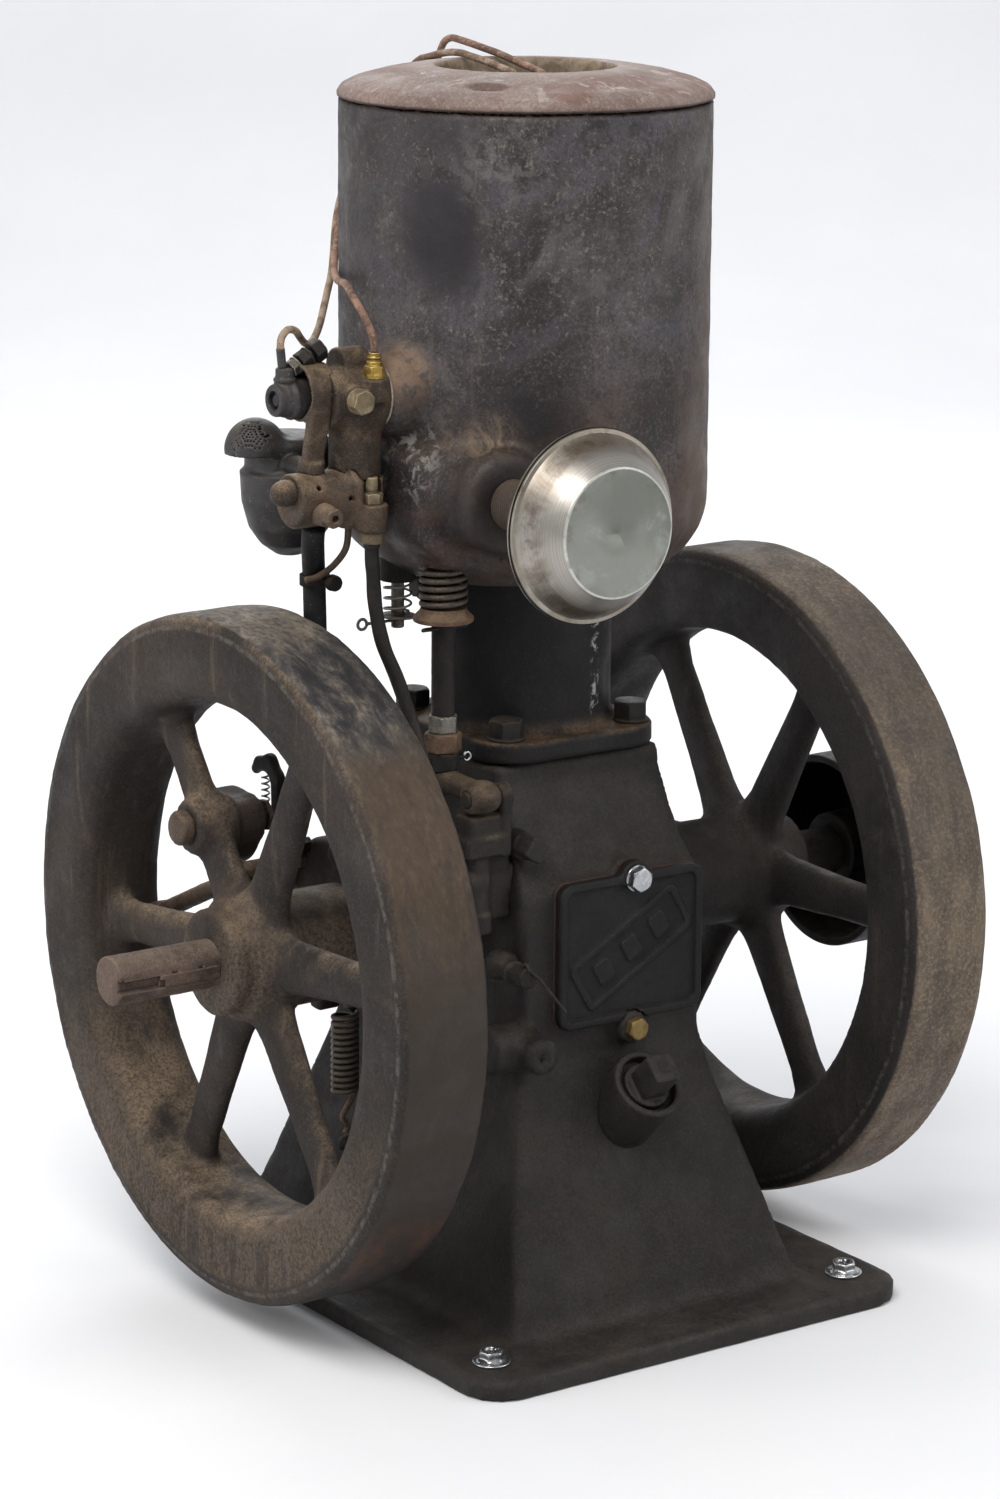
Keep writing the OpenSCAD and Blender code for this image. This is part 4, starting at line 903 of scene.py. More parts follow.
M["stub"] = iron("shaft_end", (98, 81, 72), (58, 47, 42), (130, 113, 102), rust=0.2, dust=0.5, speck=0.0, metallic=0.25,
                 rough=(0.5, 0.82), bump=0.75, edge=(152, 134, 120), edge_amt=0.4, cav=(46, 36, 30), cav_amt=0.6, size=0.45, dist=0.0007,
                 rust_a=(118, 84, 64), rust_b=(80, 60, 50), dust_col=(158, 142, 126))
M["gasket"] = iron("dark_gasket", (62, 40, 33), (38, 28, 25), (84, 56, 44), rust=0.3, dust=0.1, speck=0.1, metallic=0.0,
                   rough=(0.7, 0.9), bump=0.4, size=0.3, dist=0.0003)
M["paper"] = iron("pale_gasket", (148, 138, 124), (108, 96, 84), (178, 170, 156), rust=0.1, dust=0.2, speck=0.1, metallic=0.0,
                  rough=(0.7, 0.9), bump=0.4, size=0.3, dist=0.0003)


def alloy_look(name, stain):
    """Spun aluminium with fine turning lines about the muffler's axis and brown stains."""
    N = Nodes(name)
    dx = N.m("SUBTRACT", N.axis(N.co, 0), -0.080)
    dz = N.m("SUBTRACT", N.axis(N.co, 2), 0.501)
    rad = N.m("SQRT", N.m("ADD", N.mul(dx, dx), N.mul(dz, dz)))
    v = N.new("ShaderNodeCombineXYZ")
    N.put(v.inputs[0], N.mul(rad, 2600.0))
    lines = N.noise(1.0, 3, 0.6, co=v.outputs[0])
    n1 = N.noise(26, 6, 0.66, 0.5)
    n2 = N.noise(90, 6, 0.68, 0.2, shift=(0.3, 0.1, 0.8))
    n3 = N.noise(420, 4, 0.6, shift=(0.7, 0.2, 0.4))
    n4 = N.noise(14, 3, 0.5, 0.2, shift=(0.2, 0.5, 0.1))
    disc = N.step(rad, 0.0358, 0.0366, 1.0, 0.0)
    cone = N.m("SUBTRACT", 1.0, disc)
    col = N.mix(lin(172, 168, 162), lin(146, 141, 134), N.step(lines, 0.35, 0.65))
    col = zone(N, col, (96, 82, 66), N.mul(cone, N.step(rad, 0.0405, 0.0480)), 0.85, n1, 0.34, 0.58)
    col = zone(N, col, (70, 56, 44), N.mul(cone, N.step(rad, 0.0430, 0.0500)), 0.6, n2, 0.48, 0.64)
    col = N.mix(col, lin(142, 145, 138), N.mul(disc, 0.95))
    col = zone(N, col, (108, 112, 104), disc, 0.7, n4, 0.42, 0.60)
    col = zone(N, col, (176, 178, 172), disc, 0.45, n1, 0.54, 0.68)
    col = zone(N, col, (96, 84, 62), N.mul(disc, N.step(rad, 0.028, 0.036)), 0.5, n2, 0.50, 0.66)
    lip = N.mul(N.step(rad, 0.0354, 0.0360), N.step(rad, 0.0368, 0.0374, 1.0, 0.0))
    col = zone(N, col, (206, 206, 200), lip, 0.8, n2, 0.30, 0.50)
    rim = N.step(rad, 0.0500, 0.0525)
    col = zone(N, col, (150, 144, 132), rim, 0.7, n2, 0.36, 0.56)
    y = N.axis(N.co, 1)
    col = zone(N, col, (16, 14, 13), N.mul(N.step(y, -0.17905, -0.17875), N.step(y, -0.17800, -0.17770, 1.0, 0.0), N.step(rad, 0.0520, 0.0530)), 0.95)
    N.put(N.bsdf.inputs["Base Color"], col)
    N.bsdf.inputs["Metallic"].default_value = 0.85
    N.put(N.bsdf.inputs["Roughness"], N.m("ADD", N.step(n2, 0.3, 0.7, 0.30, 0.44), N.mul(disc, 0.14)))
    N.bump(N.m("ADD", N.mul(lines, 0.5), N.mul(n3, 0.5)), 0.10, 0.0002)
    return N.mat


M["alloy"] = alloy_look("spun_alloy", 1.0)


def cloth_wire(name, a, b, c):
    """Cloth-braided wire, frayed and stained."""
    N = Nodes(name)
    n1 = N.noise(60, 6, 0.65, 0.3)
    n2 = N.noise(240, 5, 0.7)
    w = N.new("ShaderNodeTexWave", wave_type="BANDS", bands_direction="DIAGONAL")
    N.put(w.inputs["Vector"], N.co)
    w.inputs["Scale"].default_value = 320
    w.inputs["Distortion"].default_value = 2.5
    w.inputs["Detail"].default_value = 2
    w2 = N.new("ShaderNodeTexWave", wave_type="BANDS", bands_direction="X")
    N.put(w2.inputs["Vector"], N.scaled((-1, 1, 1.3)))
    w2.inputs["Scale"].default_value = 300
    w2.inputs["Distortion"].default_value = 2.5
    weave = N.m("MAXIMUM", w.outputs["Fac"], w2.outputs["Fac"])
    col = N.mix(lin(*a), lin(*b), N.step(n1, 0.42, 0.60))
    col = N.mix(col, lin(*c), N.mul(N.step(n2, 0.50, 0.66), 0.6))
    col = N.mix(col, lin(c[0] // 2, c[1] // 2, c[2] // 2), N.mul(N.step(weave, 0.55, 0.25), 0.55))
    N.put(N.bsdf.inputs["Base Color"], col)
    N.put(N.bsdf.inputs["Roughness"], N.step(n2, 0.3, 0.7, 0.72, 0.92))
    N.bump(N.m("ADD", weave, n2), 0.6, 0.0006)
    return N.mat


M["wire_tan"] = cloth_wire("cloth_wire_tan", (164, 144, 122), (116, 94, 76), (90, 66, 52))
M["wire_red"] = cloth_wire("cloth_wire_brown", (152, 116, 96), (98, 70, 58), (176, 156, 134))


def floor_look(name, a, b):
    N = Nodes(name)
    n = N.noise(2.2, 5, 0.6)
    g = N.noise(260, 3, 0.6)
    N.put(N.bsdf.inputs["Base Color"], N.mix(lin(*a), lin(*b), N.step(n, 0.35, 0.65)))
    N.put(N.bsdf.inputs["Roughness"], N.step(g, 0.3, 0.7, 0.66, 0.8))
    N.bump(g, 0.08, 0.0005)
    return N.mat


lead_a_route = [[-180.8, -18.5, 577.1], [-181.4, -18.5, 582], [-182, -18.5, 588], [-180.5, -17.5, 594],
    [-175, -15, 597.6], [-167, -10.5, 596], [-160, -4.5, 591], [-153, 2, 586.5],
    [-145, 9.5, 584.2], [-135, 19.5, 585.5], [-122, 34, 590.5], [-109, 50, 597],
    [-98, 63, 604.5], [-88, 74, 613.5], [-80, 84, 625], [-70, 96, 644], [-57, 106, 664],
    [-41, 113.5, 683], [-25, 116, 700], [-13, 116, 715], [-6.5, 112, 727.5],
    [-5.2, 103.5, 733.8], [-5.6, 93, 736.2], [-6.2, 82, 738.6], [-7.2, 69, 740.6],
    [-8.6, 55, 741.3], [-10.2, 42, 740.4], [-10.8, 27, 738.8], [-11.6, 10, 736.5],
    [-14.3, -8, 734.5]]
lead_b_route = [[-131, -38, 584.6], [-131.4, -38, 589.5], [-133.5, -37, 598], [-136.3, -33, 607],
    [-136.8, -25, 614.5], [-133, -13, 618.8], [-127, 0, 619.3], [-120, 14, 617.5],
    [-112, 30, 616.3], [-103, 47, 617.5], [-92.8, 63.2, 621.5], [-82.8, 76.5, 630],
    [-72.5, 87, 645], [-57, 99, 659.5], [-38, 108.5, 672.5], [-16, 115, 688], [3, 118, 705],
    [13, 119, 720], [18.5, 118.5, 733.5], [19.6, 114, 742.3], [18.6, 104.5, 745.6],
    [17, 92, 745.2], [15.4, 76, 743.8], [13.8, 60, 742.2], [12.1, 44, 740.6], [9.6, 26, 738.3],
    [6.3, 6, 736.2], [2.2, -14, 734]]


for tag, route, mat in (("a", lead_a_route, "wire_tan"), ("b", lead_b_route, "wire_red")):
    node = "ignition_lead_" + tag
    P = catmull(route, 6)
    ob = tube("lead_" + tag, P, 2.2, 14)
    place(ob, node, M[mat])


# ------------------------------------------------------------------ stage
def stage_mesh(name, P, F, mat):
    me = bpy.data.meshes.new(name)
    me.from_pydata([tuple(p) for p in P], [], F)
    ob = bpy.data.objects.new(name, me)
    bpy.context.scene.collection.objects.link(ob)
    me.materials.append(mat)
    return ob


prof = [(-9.0, 0.0), (3.2, 0.0)] + [(3.2 + 1.6 * math.sin(a), 1.6 - 1.6 * math.cos(a)) for a in [i * math.pi / 24 for i in range(1, 13)]] + [(4.8, 7.0)]
fd, sd = Vector((0.5735, 0.8192, 0)), Vector((0.8192, -0.5735, 0))
SP, SF = [], []
for t, z in prof:
    for sgn in (-1, 1):
        p = fd * t + sd * (9.0 * sgn)
        SP.append((p.x, p.y, z - 0.0004))
for i in range(len(prof) - 1):
    SF.append((2 * i, 2 * i + 1, 2 * i + 3, 2 * i + 2))
st = stage_mesh("stage_floor", SP, SF, floor_look("stage_pale", (234, 234, 236), (230, 231, 234)))
for p in st.data.polygons:
    p.use_smooth = True


def lamp(name, loc, at, size, power, col=(1, 1, 1)):
    d = bpy.data.lights.new(name, "AREA")
    d.shape = "RECTANGLE"
    d.size, d.size_y = size
    d.energy = power
    d.color = col
    o = bpy.data.objects.new(name, d)
    bpy.context.scene.collection.objects.link(o)
    o.location = loc
    o.rotation_euler = (Vector(at) - Vector(loc)).to_track_quat("-Z", "Y").to_euler()
    return o


lamp("key", (-1.6, -1.2, 3.0), (0, 0, 0.4), (2.2, 1.6), 82, (1.0, 0.98, 0.95))
lamp("back", (1.2, 1.9, 4.2), (2.9, 4.1, 2.0), (3.4, 1.6), 62, (0.99, 0.995, 1.0))
lamp("fill", (1.9, -1.9, 1.6), (0, 0, 0.4), (1.8, 1.8), 24, (1.0, 0.99, 0.98))
lamp("rim", (1.2, 2.6, 2.4), (0, 0, 0.5), (2.2, 1.4), 40, (0.97, 0.985, 1.0))
lamp("side", (-2.6, 0.9, 1.2), (0, 0, 0.4), (1.6, 1.6), 22, (1.0, 0.99, 0.97))
world = bpy.data.worlds.new("studio")
bpy.context.scene.world = world
world.use_nodes = True
world.node_tree.nodes["Background"].inputs["Color"].default_value = (0.89, 0.90, 0.92, 1)
world.node_tree.nodes["Background"].inputs["Strength"].default_value = 0.54
bpy.context.scene.view_settings.view_transform = "Standard"


def room(node, pad=2.0):
    lo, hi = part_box(node)
    return [c / MM - pad for c in lo], [c / MM + pad for c in hi]


def piece(name, node, f, cell, mat, replaces=True, wear_and_shade_reach=(2.0, 7.0), pad=2.0):
    lo, hi = room(node, pad)
    return cast(name, node, f, lo, hi, cell, M[mat] if isinstance(mat, str) else mat, replaces, wear_and_shade_reach)


def tubef(P, r):
    """Field of a round bar along the points P."""
    P = np.array(P, float)
    R = np.full(len(P), float(r)) if np.isscalar(r) else np.array(r, float)
    def f(Q):
        d = np.full(len(Q), 1e9)
        for i in range(len(P) - 1):
            a, b = P[i], P[i + 1]
            e = b - a
            q = Q - a
            t = np.clip(q @ e / (e @ e), 0, 1)
            d = np.minimum(d, np.linalg.norm(q - t[:, None] * e, axis=1) - (R[i] + (R[i + 1] - R[i]) * t))
        return d
    return f


# ------------------------------------------------------------------ flywheels
YC, ZC, WIN, RW, WR = 13.0, 223.0, 153.0, 60.0, 206.0
RIM = [(162, 0), (197, 0), (202.5, 1.6), (205, 4), (206, 8), (206, 52), (205, 56), (202.5, 58.4), (197, 60),
       (166, 60), (159, 57), (155, 51.5), (154, 45), (154, 15), (155, 8.5), (158, 3)]
RIM = fillet(RIM, [5, 0.8, 1.5, 3, 3, 3, 3, 1.5, 0.8, 6, 4, 4, 6, 6, 4, 4], 4)
ARM = np.array([[22, 11, 25], [36, 9.6, 19], [52, 8.9, 16], [100, 8, 13.6], [134, 7.6, 12.8], [147, 8.6, 15], [158, 11, 20]], float)


def arm_field(ang):
    c, s = math.cos(math.radians(ang)), math.sin(math.radians(ang))
    def f(P):
        t = P[:, 1] * c + P[:, 2] * s
        w = -P[:, 1] * s + P[:, 2] * c
        x = P[:, 0] - 30
        a1 = np.interp(t, ARM[:, 0], ARM[:, 1])
        a2 = np.interp(t, ARM[:, 0], ARM[:, 2])
        k0 = np.sqrt((x / a1) ** 2 + (w / a2) ** 2)
        k1 = np.sqrt((x / a1 ** 2) ** 2 + (w / a2 ** 2) ** 2) + 1e-9
        d = np.where(k0 < 1e-3, -a1, k0 * (k0 - 1) / k1)
        return np.maximum(np.maximum(d, 18 - t), t - 164)
    return f


def wheel_field(turn, hub0, extra=()):
    rim_f = spun(RIM, 0, (0, 0))
    hub = join(cx(34, hub0, 16, 0, 0, rd=3), cx(37, 14, 46, 0, 0, rd=3), cx(32, 40, 60.8, 0, 0, rd=3.5), k=4)
    arms = join(*[arm_field(turn + 60 * i) for i in range(6)])
    f = join(rim_f, join(arms, hub, *extra, k=9), k=7)
    return f


def local(f, x0, sgn):
    return lambda P: f(np.stack([(P[:, 0] - x0) * sgn, P[:, 1] - YC, P[:, 2] - ZC], 1))


ga = math.radians(55)
boss = cx(16, 16, 45.5, 85 * math.cos(ga), 85 * math.sin(ga), rd=2.5)
piece("flywheel_left_casting", "flywheel_left", rough(local(wheel_field(55, -35, (boss,)), -WIN, -1), 0.28, 17, 1.3), 2.6, "wheel", wear_and_shade_reach=(2.6, 12))
piece("flywheel_right_casting", "flywheel_right", rough(local(wheel_field(59, -43), WIN, 1), 0.28, 17, 4.1), 2.6, "wheel_r", wear_and_shade_reach=(2.6, 12))

# ------------------------------------------------------------------ frame
SIDE_W = [[9, 112], [12, 110], [16, 106], [22, 103], [32, 100.5], [70, 91.5], [100, 83], [130, 75],
    [150, 69.7], [168, 65.8], [262, 65.8], [280, 61.5], [300, 60], [336, 60]]
SIDE_D = [[9, 154], [12, 152], [16, 148.5], [22, 145.5], [32, 142], [70, 127], [100, 116], [130, 105],
    [150, 100], [165, 97.5], [262, 97.5], [280, 84], [300, 73.5], [322, 62], [336, 60]]


def mirror2(S):
    return [(p[1], p[0]) for p in S] + [(-p[1], p[0]) for p in S[::-1]]


body = both(prism(mirror2(SIDE_W), 1, -160, 160), prism(mirror2(SIDE_D), 0, -120, 120), k=5)
base = cut(rslab((0, 0), 312, 388, 24, 2, 0, 12, rd=1.6), *[cz(5.5, -5, 20, sx * 131, sy * 161) for sx in (-1, 1) for sy in (-1, 1)])
pad = join(rslab((8, 225.5), 104, 89, 9, 1, -97.5, -80, rd=0.8), cy(10, -97.5, -80, 10, 268, rd=0.8), k=3)
frame_f = join(join(base, body, k=5), pad, k=4)
frame_f = join(frame_f, cx(60, 60, 86, YC, ZC, rd=3), cx(36, 80, 104, YC, ZC, rd=2), k=9)
frame_f = join(frame_f, cx(15, -90, -60, -92, 174, rd=3), cy(11, -120, -90, -65, 173, rd=1.5), cx(9, -73, -50, 10, 312, rd=1.5),
               cy(10, -106, -60, 10, 175.5, rd=1.2), cx(5, -98, -80, 51, 78, rd=1), k=5)
frame_f = cut(frame_f, cy(2.6, -125, -105, -65, 173), cx(15.3, 60, 120, YC, ZC))
piece("crankcase_casting", "frame", both(rough(frame_f, 0.22, 13, 2.2), box((-155.9, -193.9, 0.03), (155.9, 193.9, 500))), 2.7, "frame", wear_and_shade_reach=(2.6, 12))


# ------------------------------------------------------------------ cover, gasket, cover bolts
def relief(P):
    c, s = math.cos(math.radians(30)), math.sin(math.radians(30))
    x, z = P[:, 0] - 8, P[:, 2] - 225.5
    Q = np.stack([x * c + z * s, -x * s + z * c, -(P[:, 1] + 103.5)], 1)
    ringf = cut(rslab((0, 0), 87, 33, 5, 2, -2, 1.9, rd=0.8), rslab((0, 0), 79.5, 25.5, 3, 2, -6, 6))
    bars = join(*[rslab((i * 23, 0), 12, 15, 3, 2, -2, 1.9, rd=0.9) for i in (-1, 0, 1)])
    return np.maximum(join(ringf, bars, k=1)(Q), rslab((8, 225.5), 93, 78, 5, 1, -112, -99)(P))


cov = join(rslab((8, 225.5), 105, 90, 9, 1, -106, -99, rd=2.0), cy(10.5, -106, -99, 10, 268, rd=1.6), k=4)
cov = cut(cov, rslab((8, 225.5), 94, 79, 5, 1, -125, -103.6), k=2.0)
cov = join(cov, relief, k=1.6)
cov = cut(cov, cy(10.6, -130, -90, 10, 175.5), cy(4.2, -130, -90, 10, 268))
piece("cover_casting", "crankcase_cover", rough(cov, 0.14, 7, 0.4), 1.05, "cover", wear_and_shade_reach=(1.2, 4))
gas = join(rslab((8, 225.5), 106, 91, 9.5, 1, -99, -97.5, rd=0.4), cy(11, -99, -97.5, 10, 268, rd=0.4), k=2)
piece("cover_gasket_sheet", "cover_gasket", rough(cut(gas, cy(10.6, -130, -90, 10, 175.5), cy(4.2, -130, -90, 10, 268)), 0.15, 5), 1.1, "gasket", wear_and_shade_reach=(1, 3))
bolt_top = join(cy(8.2, -107.3, -106, 10, 268, rd=0.5), hexbar((10, -107, 268), (10, -112.6, 268), 13.6, 12, 0.5), cy(4, -107, -97.5, 10, 268), k=0.6)
bolt_low = hexbar((10, -106, 175.5), (10, -111.5, 175.5), 12.6, 5, 0.5)
P1 = nets(bolt_top, (0, -114, 258), (20, -96, 278), 0.55)
ob = mesh_object("cover_bolt_upper", P1[0], P1[1]); attrs(ob.data, P1[0], P1[2], 0.6, 2)
place(ob, "cover_bolts", M["zinc"])
P1 = nets(bolt_low, (0, -113, 166), (20, -104, 186), 0.55)
ob = mesh_object("cover_bolt_lower", P1[0], P1[1]); attrs(ob.data, P1[0], P1[2], 0.6, 2)
place(ob, "cover_bolts", M["brass"])

# ------------------------------------------------------------------ oil filler, side plug, petcock
fil = cut(cz(22, -40, 3, 0, 0, rd=1.6), cz(18, -4, 12, 0, 0), k=0.8)
fil = join(fil, cz(14.5, -8, 1, 0, 0, rd=1.0), k=1.2)
sq = rslab((0, 0), 18, 18, 2.4, 2, -2, 23.5, rd=1.6)
fil = join(fil, sq, k=1.6)
fil = cut(fil, rslab((0, 0), 7, 7, 1, 2, 22.6, 30), k=0.8)
fil = moved(fil, (4, -127, 146), (1, 0, 0), 46)
fil = cut(fil, both(body, box((-60, -400, 0), (60, 0, 400))), box((-60, -108, 60), (60, 0, 260)))
piece("oil_filler_cup", "oil_filler", rough(fil, 0.12, 6, 2.0), 0.9, "frame", wear_and_shade_reach=(1.2, 4))
plug = join(cy(8.5, -84.5, -72, -56, 292.5, rd=1.0), moved(rslab((0, 0), 13, 13, 1.6, 1, -8, 7, rd=1.4), (-56, -90, 292.5), (0, 1, 0), 34), k=1.0)
piece("side_plug_square", "side_plug", rough(cut(plug, body), 0.1, 4), 0.6, "frame", wear_and_shade_reach=(0.9, 3))
pet = join(cx(6, -76, -66, -88, 224, rd=1), ball((-76, -88, 224), 9.5), cy(6.5, -118, -92, -76, 223, 4.5, rd=1.2), k=3)
pet = join(pet, cz(5, 215.5, 224, -76, -88), cz(7, 214.2, 216.6, -76, -88, rd=0.6), cy(7.3, -104, -100, -76, 223, rd=0.8), k=1.2)
piece("petcock_body", "petcock", rough(pet, 0.12, 4), 0.8, "dark", wear_and_shade_reach=(1.0, 3))

# ------------------------------------------------------------------ timing housing
hull = join(cx(38, -110, -66, YC, ZC, rd=5), cx(39, -110, -66, 50, 236, rd=5),
            prism([(-0.5, 258.6), (36.6, 272.6), (63.4, 199.4), (26.3, 187.4)], 0, -110, -66, rd=5), k=3)
tim = join(hull, cx(7, -116, -108, 84, 246, rd=1), cx(7, -116, -108, 30, 270, rd=1), rslab((68.5, 189), 13, 54, 3, 0, -105, -90, rd=2), k=5)
tim = join(tim, cy(3, 45, 64, -94, 172, rd=0.6), k=1.5)
piece("timing_housing_casting", "timing_housing", rough(cut(tim, cx(15.4, -130, -40, YC, ZC)), 0.2, 9, 0.7), 1.7, "brown_dark", wear_and_shade_reach=(1.8, 7))

# ------------------------------------------------------------------ cylinder
cyl = both(rslab((0, 0), 125, 134, 27, 2, 336, 348.5, rd=1.6), cz(84, 330, 352, 0, 0), k=2)
cyl = join(cyl, cz(54, 340, 441, 0, 0), k=10)
piece("cylinder_casting", "cylinder", rough(both(cyl, box((-80, -80, 336), (80, 80, 441))), 0.16, 12, 3.0), 1.8, "cylinder", wear_and_shade_reach=(1.8, 7))
for i, (bx, by) in enumerate([(-45.5, -49.5), (45.5, -49.5), (45.5, 49.5), (-45.5, 49.5)]):
    fb = join(hexbar((bx, by, 348.5), (bx, by, 361), 19, 15 + 7 * i, 0.9), cz(11.4, 348.5, 350.2, bx, by, rd=0.5), k=0.6)
    P1 = nets(rough(fb, 0.12, 4, i), (bx - 12, by - 12, 347), (bx + 12, by + 12, 362), 0.8)
    ob = mesh_object("cylinder_nut_%d" % i, P1[0], P1[1])
    attrs(ob.data, P1[0], P1[2], 1.0, 3)
    place(ob, "cylinder_bolts", M["dark"])

# ------------------------------------------------------------------ hopper, lid, inner cylinder
def pot(R, rr, z0, z1, rd=0.0):
    def f(P):
        rad = np.hypot(P[:, 0], P[:, 1])
        qx, qz = rad - (R - rr), (z0 + rr) - P[:, 2]
        g = np.hypot(np.maximum(qx, 0), np.maximum(qz, 0)) + np.minimum(np.maximum(qx, qz), 0) - rr
        dz = P[:, 2] - z1
        a, b = g + rd, dz + rd
        return np.hypot(np.maximum(a, 0), np.maximum(b, 0)) + np.minimum(np.maximum(a, b), 0) - rd
    return f


VX = -87.0
chest = join(rslab((-80, -33), 66, 58, 17, 2, 460, 522, rd=3), cz(25, 460, 522, -88, -37, rd=3), rslab((-78, 0), 70, 44, 9, 2, 464, 522, rd=3), k=3)
cut_slope = prism([(-124, 450), (-124, 475.5), (-113, 474), (-96, 459.5), (-90, 450)], 1, -90, 40)
chest = cut(chest, cut_slope, k=3)
hop = join(pot(110, 45, 441, 720, 1.2), chest, k=15)
hop = join(hop, cz(17, 458, 500, VX, -44, rd=1.0), cz(13, 463, 500, VX, 4, rd=1.0), k=2)
hop = join(hop, bar((-80, -50, 501), (-80, -97, 501), 31, 27, 1.5), cy(26, -100, -90, -80, 501, rd=3), k=11)
hop = join(hop, cx(22, -114, -70, -24, 558, rd=3), cx(19, -122, -108, -24, 558, rd=1.2), k=13)
hop = cut(hop, pot(104, 39, 447, 740))
hop = both(hop, box((-200, -200, 441), (200, 200, 719.9)))
piece("hopper_casting", "hopper", rough(hop, 0.3, 15, 5.0), 2.45, "hopper", wear_and_shade_reach=(2.4, 11))
LID = [(103, 720), (110.6, 720), (110.9, 723), (108, 727), (101, 730.5), (86, 734.5), (68, 737.5), (57, 738.6), (53.4, 738.2),
       (52, 735.5), (50.8, 723), (52.6, 723), (55.5, 731), (58, 733.5), (68, 732.5), (86, 729.5), (101, 725), (103, 723)]
lidf = spun(fillet(LID, [1, 1, 2, 5, 8, 9, 9, 3, 2, 1.5, 0.6, 0.6, 2, 2, 5, 5, 3, 1], 4), 2, (0, 0))
la = math.radians(-139)
dent = lambda P: np.sqrt(((P[:, 0] - 92 * math.cos(la)) * -math.sin(la) + (P[:, 1] - 92 * math.sin(la)) * math.cos(la)) ** 2 / 2.7 ** 2 + ((P[:, 0] - 92 * math.cos(la)) * math.cos(la) + (P[:, 1] - 92 * math.sin(la)) * math.sin(la)) ** 2 / 1.4 ** 2 + ((P[:, 2] - 733.5) / 0.64) ** 2) - 5.0
piece("hopper_lid_casting", "hopper_lid", rough(cut(lidf, dent, k=1.0), 0.12, 9, 1.1), 1.7, "lid", wear_and_shade_reach=(1.6, 5))
spin("inner_cylinder_casting", fillet([(0.01, 447), (50, 447), (50, 596), (44, 602), (0.01, 602)], [0, 1, 4, 3, 0]), (0, 0, 0), (0, 0, 1), 96)
place(bpy.data.objects["inner_cylinder_casting"], "inner_cylinder", M["rusty"])

# ------------------------------------------------------------------ exhaust nipple and muffler
nipple = spin("exhaust_pipe_nipple", fillet([(11, -152), (14.3, -152), (14.3, -100), (11, -100)], 0.5, 2), (-80, 0, 501), (0, 1, 0), 96)
place(nipple, "exhaust_nipple", M["dark"])
thread = tube("exhaust_pipe_thread", [(-80 + 14.1 * math.cos(t), -102 - 1.9 * t / (2 * math.pi), 501 + 14.1 * math.sin(t)) for t in np.linspace(0, 2 * math.pi * 24, 24 * 24)], 0.75, 6)
place(thread, "exhaust_nipple", M["brown_dark"], replaces=False)
BACK = [(14.5, 0), (22, 0), (34, 2), (44, 8), (50, 17), (51.5, 24), (55.5, 24.5), (55.5, 26.5), (49.5, 26.5), (48, 18), (42.5, 10), (33, 4.5), (22, 2.5), (14.5, 2.5)]
mb = spin("muffler_back_pan", fillet(BACK, [0.3, 5, 9, 9, 7, 0.8, 0.7, 0.7, 0.5, 5, 7, 8, 4, 0.3], 5), (-80, -151.9, 501), (0, -1, 0), 128)
place(mb, "muffler_back", M["alloy"])
FRONT = [(49.5, 0), (55, 0), (55, 2.2), (52.5, 2.6), (50.3, 6.5), (45.6, 14.6), (40.5, 21.4), (37.6, 25.0), (36.9, 26.0), (36.2, 26.5), (35.2, 26.5), (33, 26.5), (24, 26.5), (12, 26.5),
         (0.01, 26.5), (0.01, 24.5), (34, 24.5), (42.3, 14.5), (47.6, 7)]
mf = spin("muffler_front_pan", fillet(FRONT, [0.3, 0.7, 0.7, 1.4, 5, 10, 8, 0.6, 0.5, 0.5, 0, 0, 0, 0, 0, 0, 1, 12, 8], 5), (-80, -178.4, 501), (0, -1, 0), 192)
place(mf, "muffler_front", M["alloy"])

# ------------------------------------------------------------------ small castings and fittings
def small(name, node, f, lo, hi, cell, mat, replaces=True, wear_and_shade_reach=(0.9, 3.0), amp=0.08, wave=4.0):
    g = rough(f, amp, wave, len(name) * 0.37) if amp else f
    return cast(name, node, g, lo, hi, cell, M[mat], replaces, wear_and_shade_reach)


def whole(name, node, f, cell, mat, wear_and_shade_reach=(0.9, 3.0), amp=0.08, wave=4.0, pad=1.5):
    lo, hi = room(node, pad)
    return small(name, node, f, lo, hi, cell, mat, True, wear_and_shade_reach, amp, wave)


# manifold: flange, body, column and bosses
man = join(cx(20, -128, -122.05, -24, 558, rd=1.6), cx(17, -158, -126, -24, 558, rd=2.2), k=3)
man = join(man, cz(15, 511, 560, -135.5, -24, rd=1.0), k=7)
man = join(man, cx(11, -146, -128, -20, 575, rd=1.6), cz(7, 556, 569.2, -131, -38, rd=0.8), k=4)
man = join(man, cy(8.4, -41.1, -30, -145, 558, rd=0.8), k=2)
man = cut(man, cx(15.7, -190, -141.5, -24, 501), cx(19.6, -146.1, -141.5, -24, 501), cx(15.7, -172, -120, -8, 496.5), cx(11.6, -170, -150, -18.3, 558.5), cx(19.1, -122.04, -100, -24, 558))
whole("manifold_casting", "intake_manifold", man, 0.95, "brown", amp=0.14, wave=6)
gk = cut(cx(20.6, -123.4, -122.0, -24, 558, rd=0.4), cx(15, -130, -100, -24, 558))
small("manifold_gasket", "intake_manifold", gk, (-126, -47, 535), (-120, -1, 581), 0.7, "paper", replaces=False, amp=0.2, wave=3)
whole("manifold_bolt_head", "manifold_bolt", join(hexbar((-145, -42.6, 558), (-145, -50, 558), 13, 8, 0.5), cy(7.3, -43, -41.1, -145, 558, rd=0.3), k=0.5), 0.45, "pale")
term = join(cz(6, 569.3, 572.3, -131, -38, rd=0.5), hexbar((-131, -38, 572.3), (-131, -38, 577), 11, 10, 0.4), cz(4.6, 576.5, 579.5, -131, -38, rd=0.5), k=0.5)
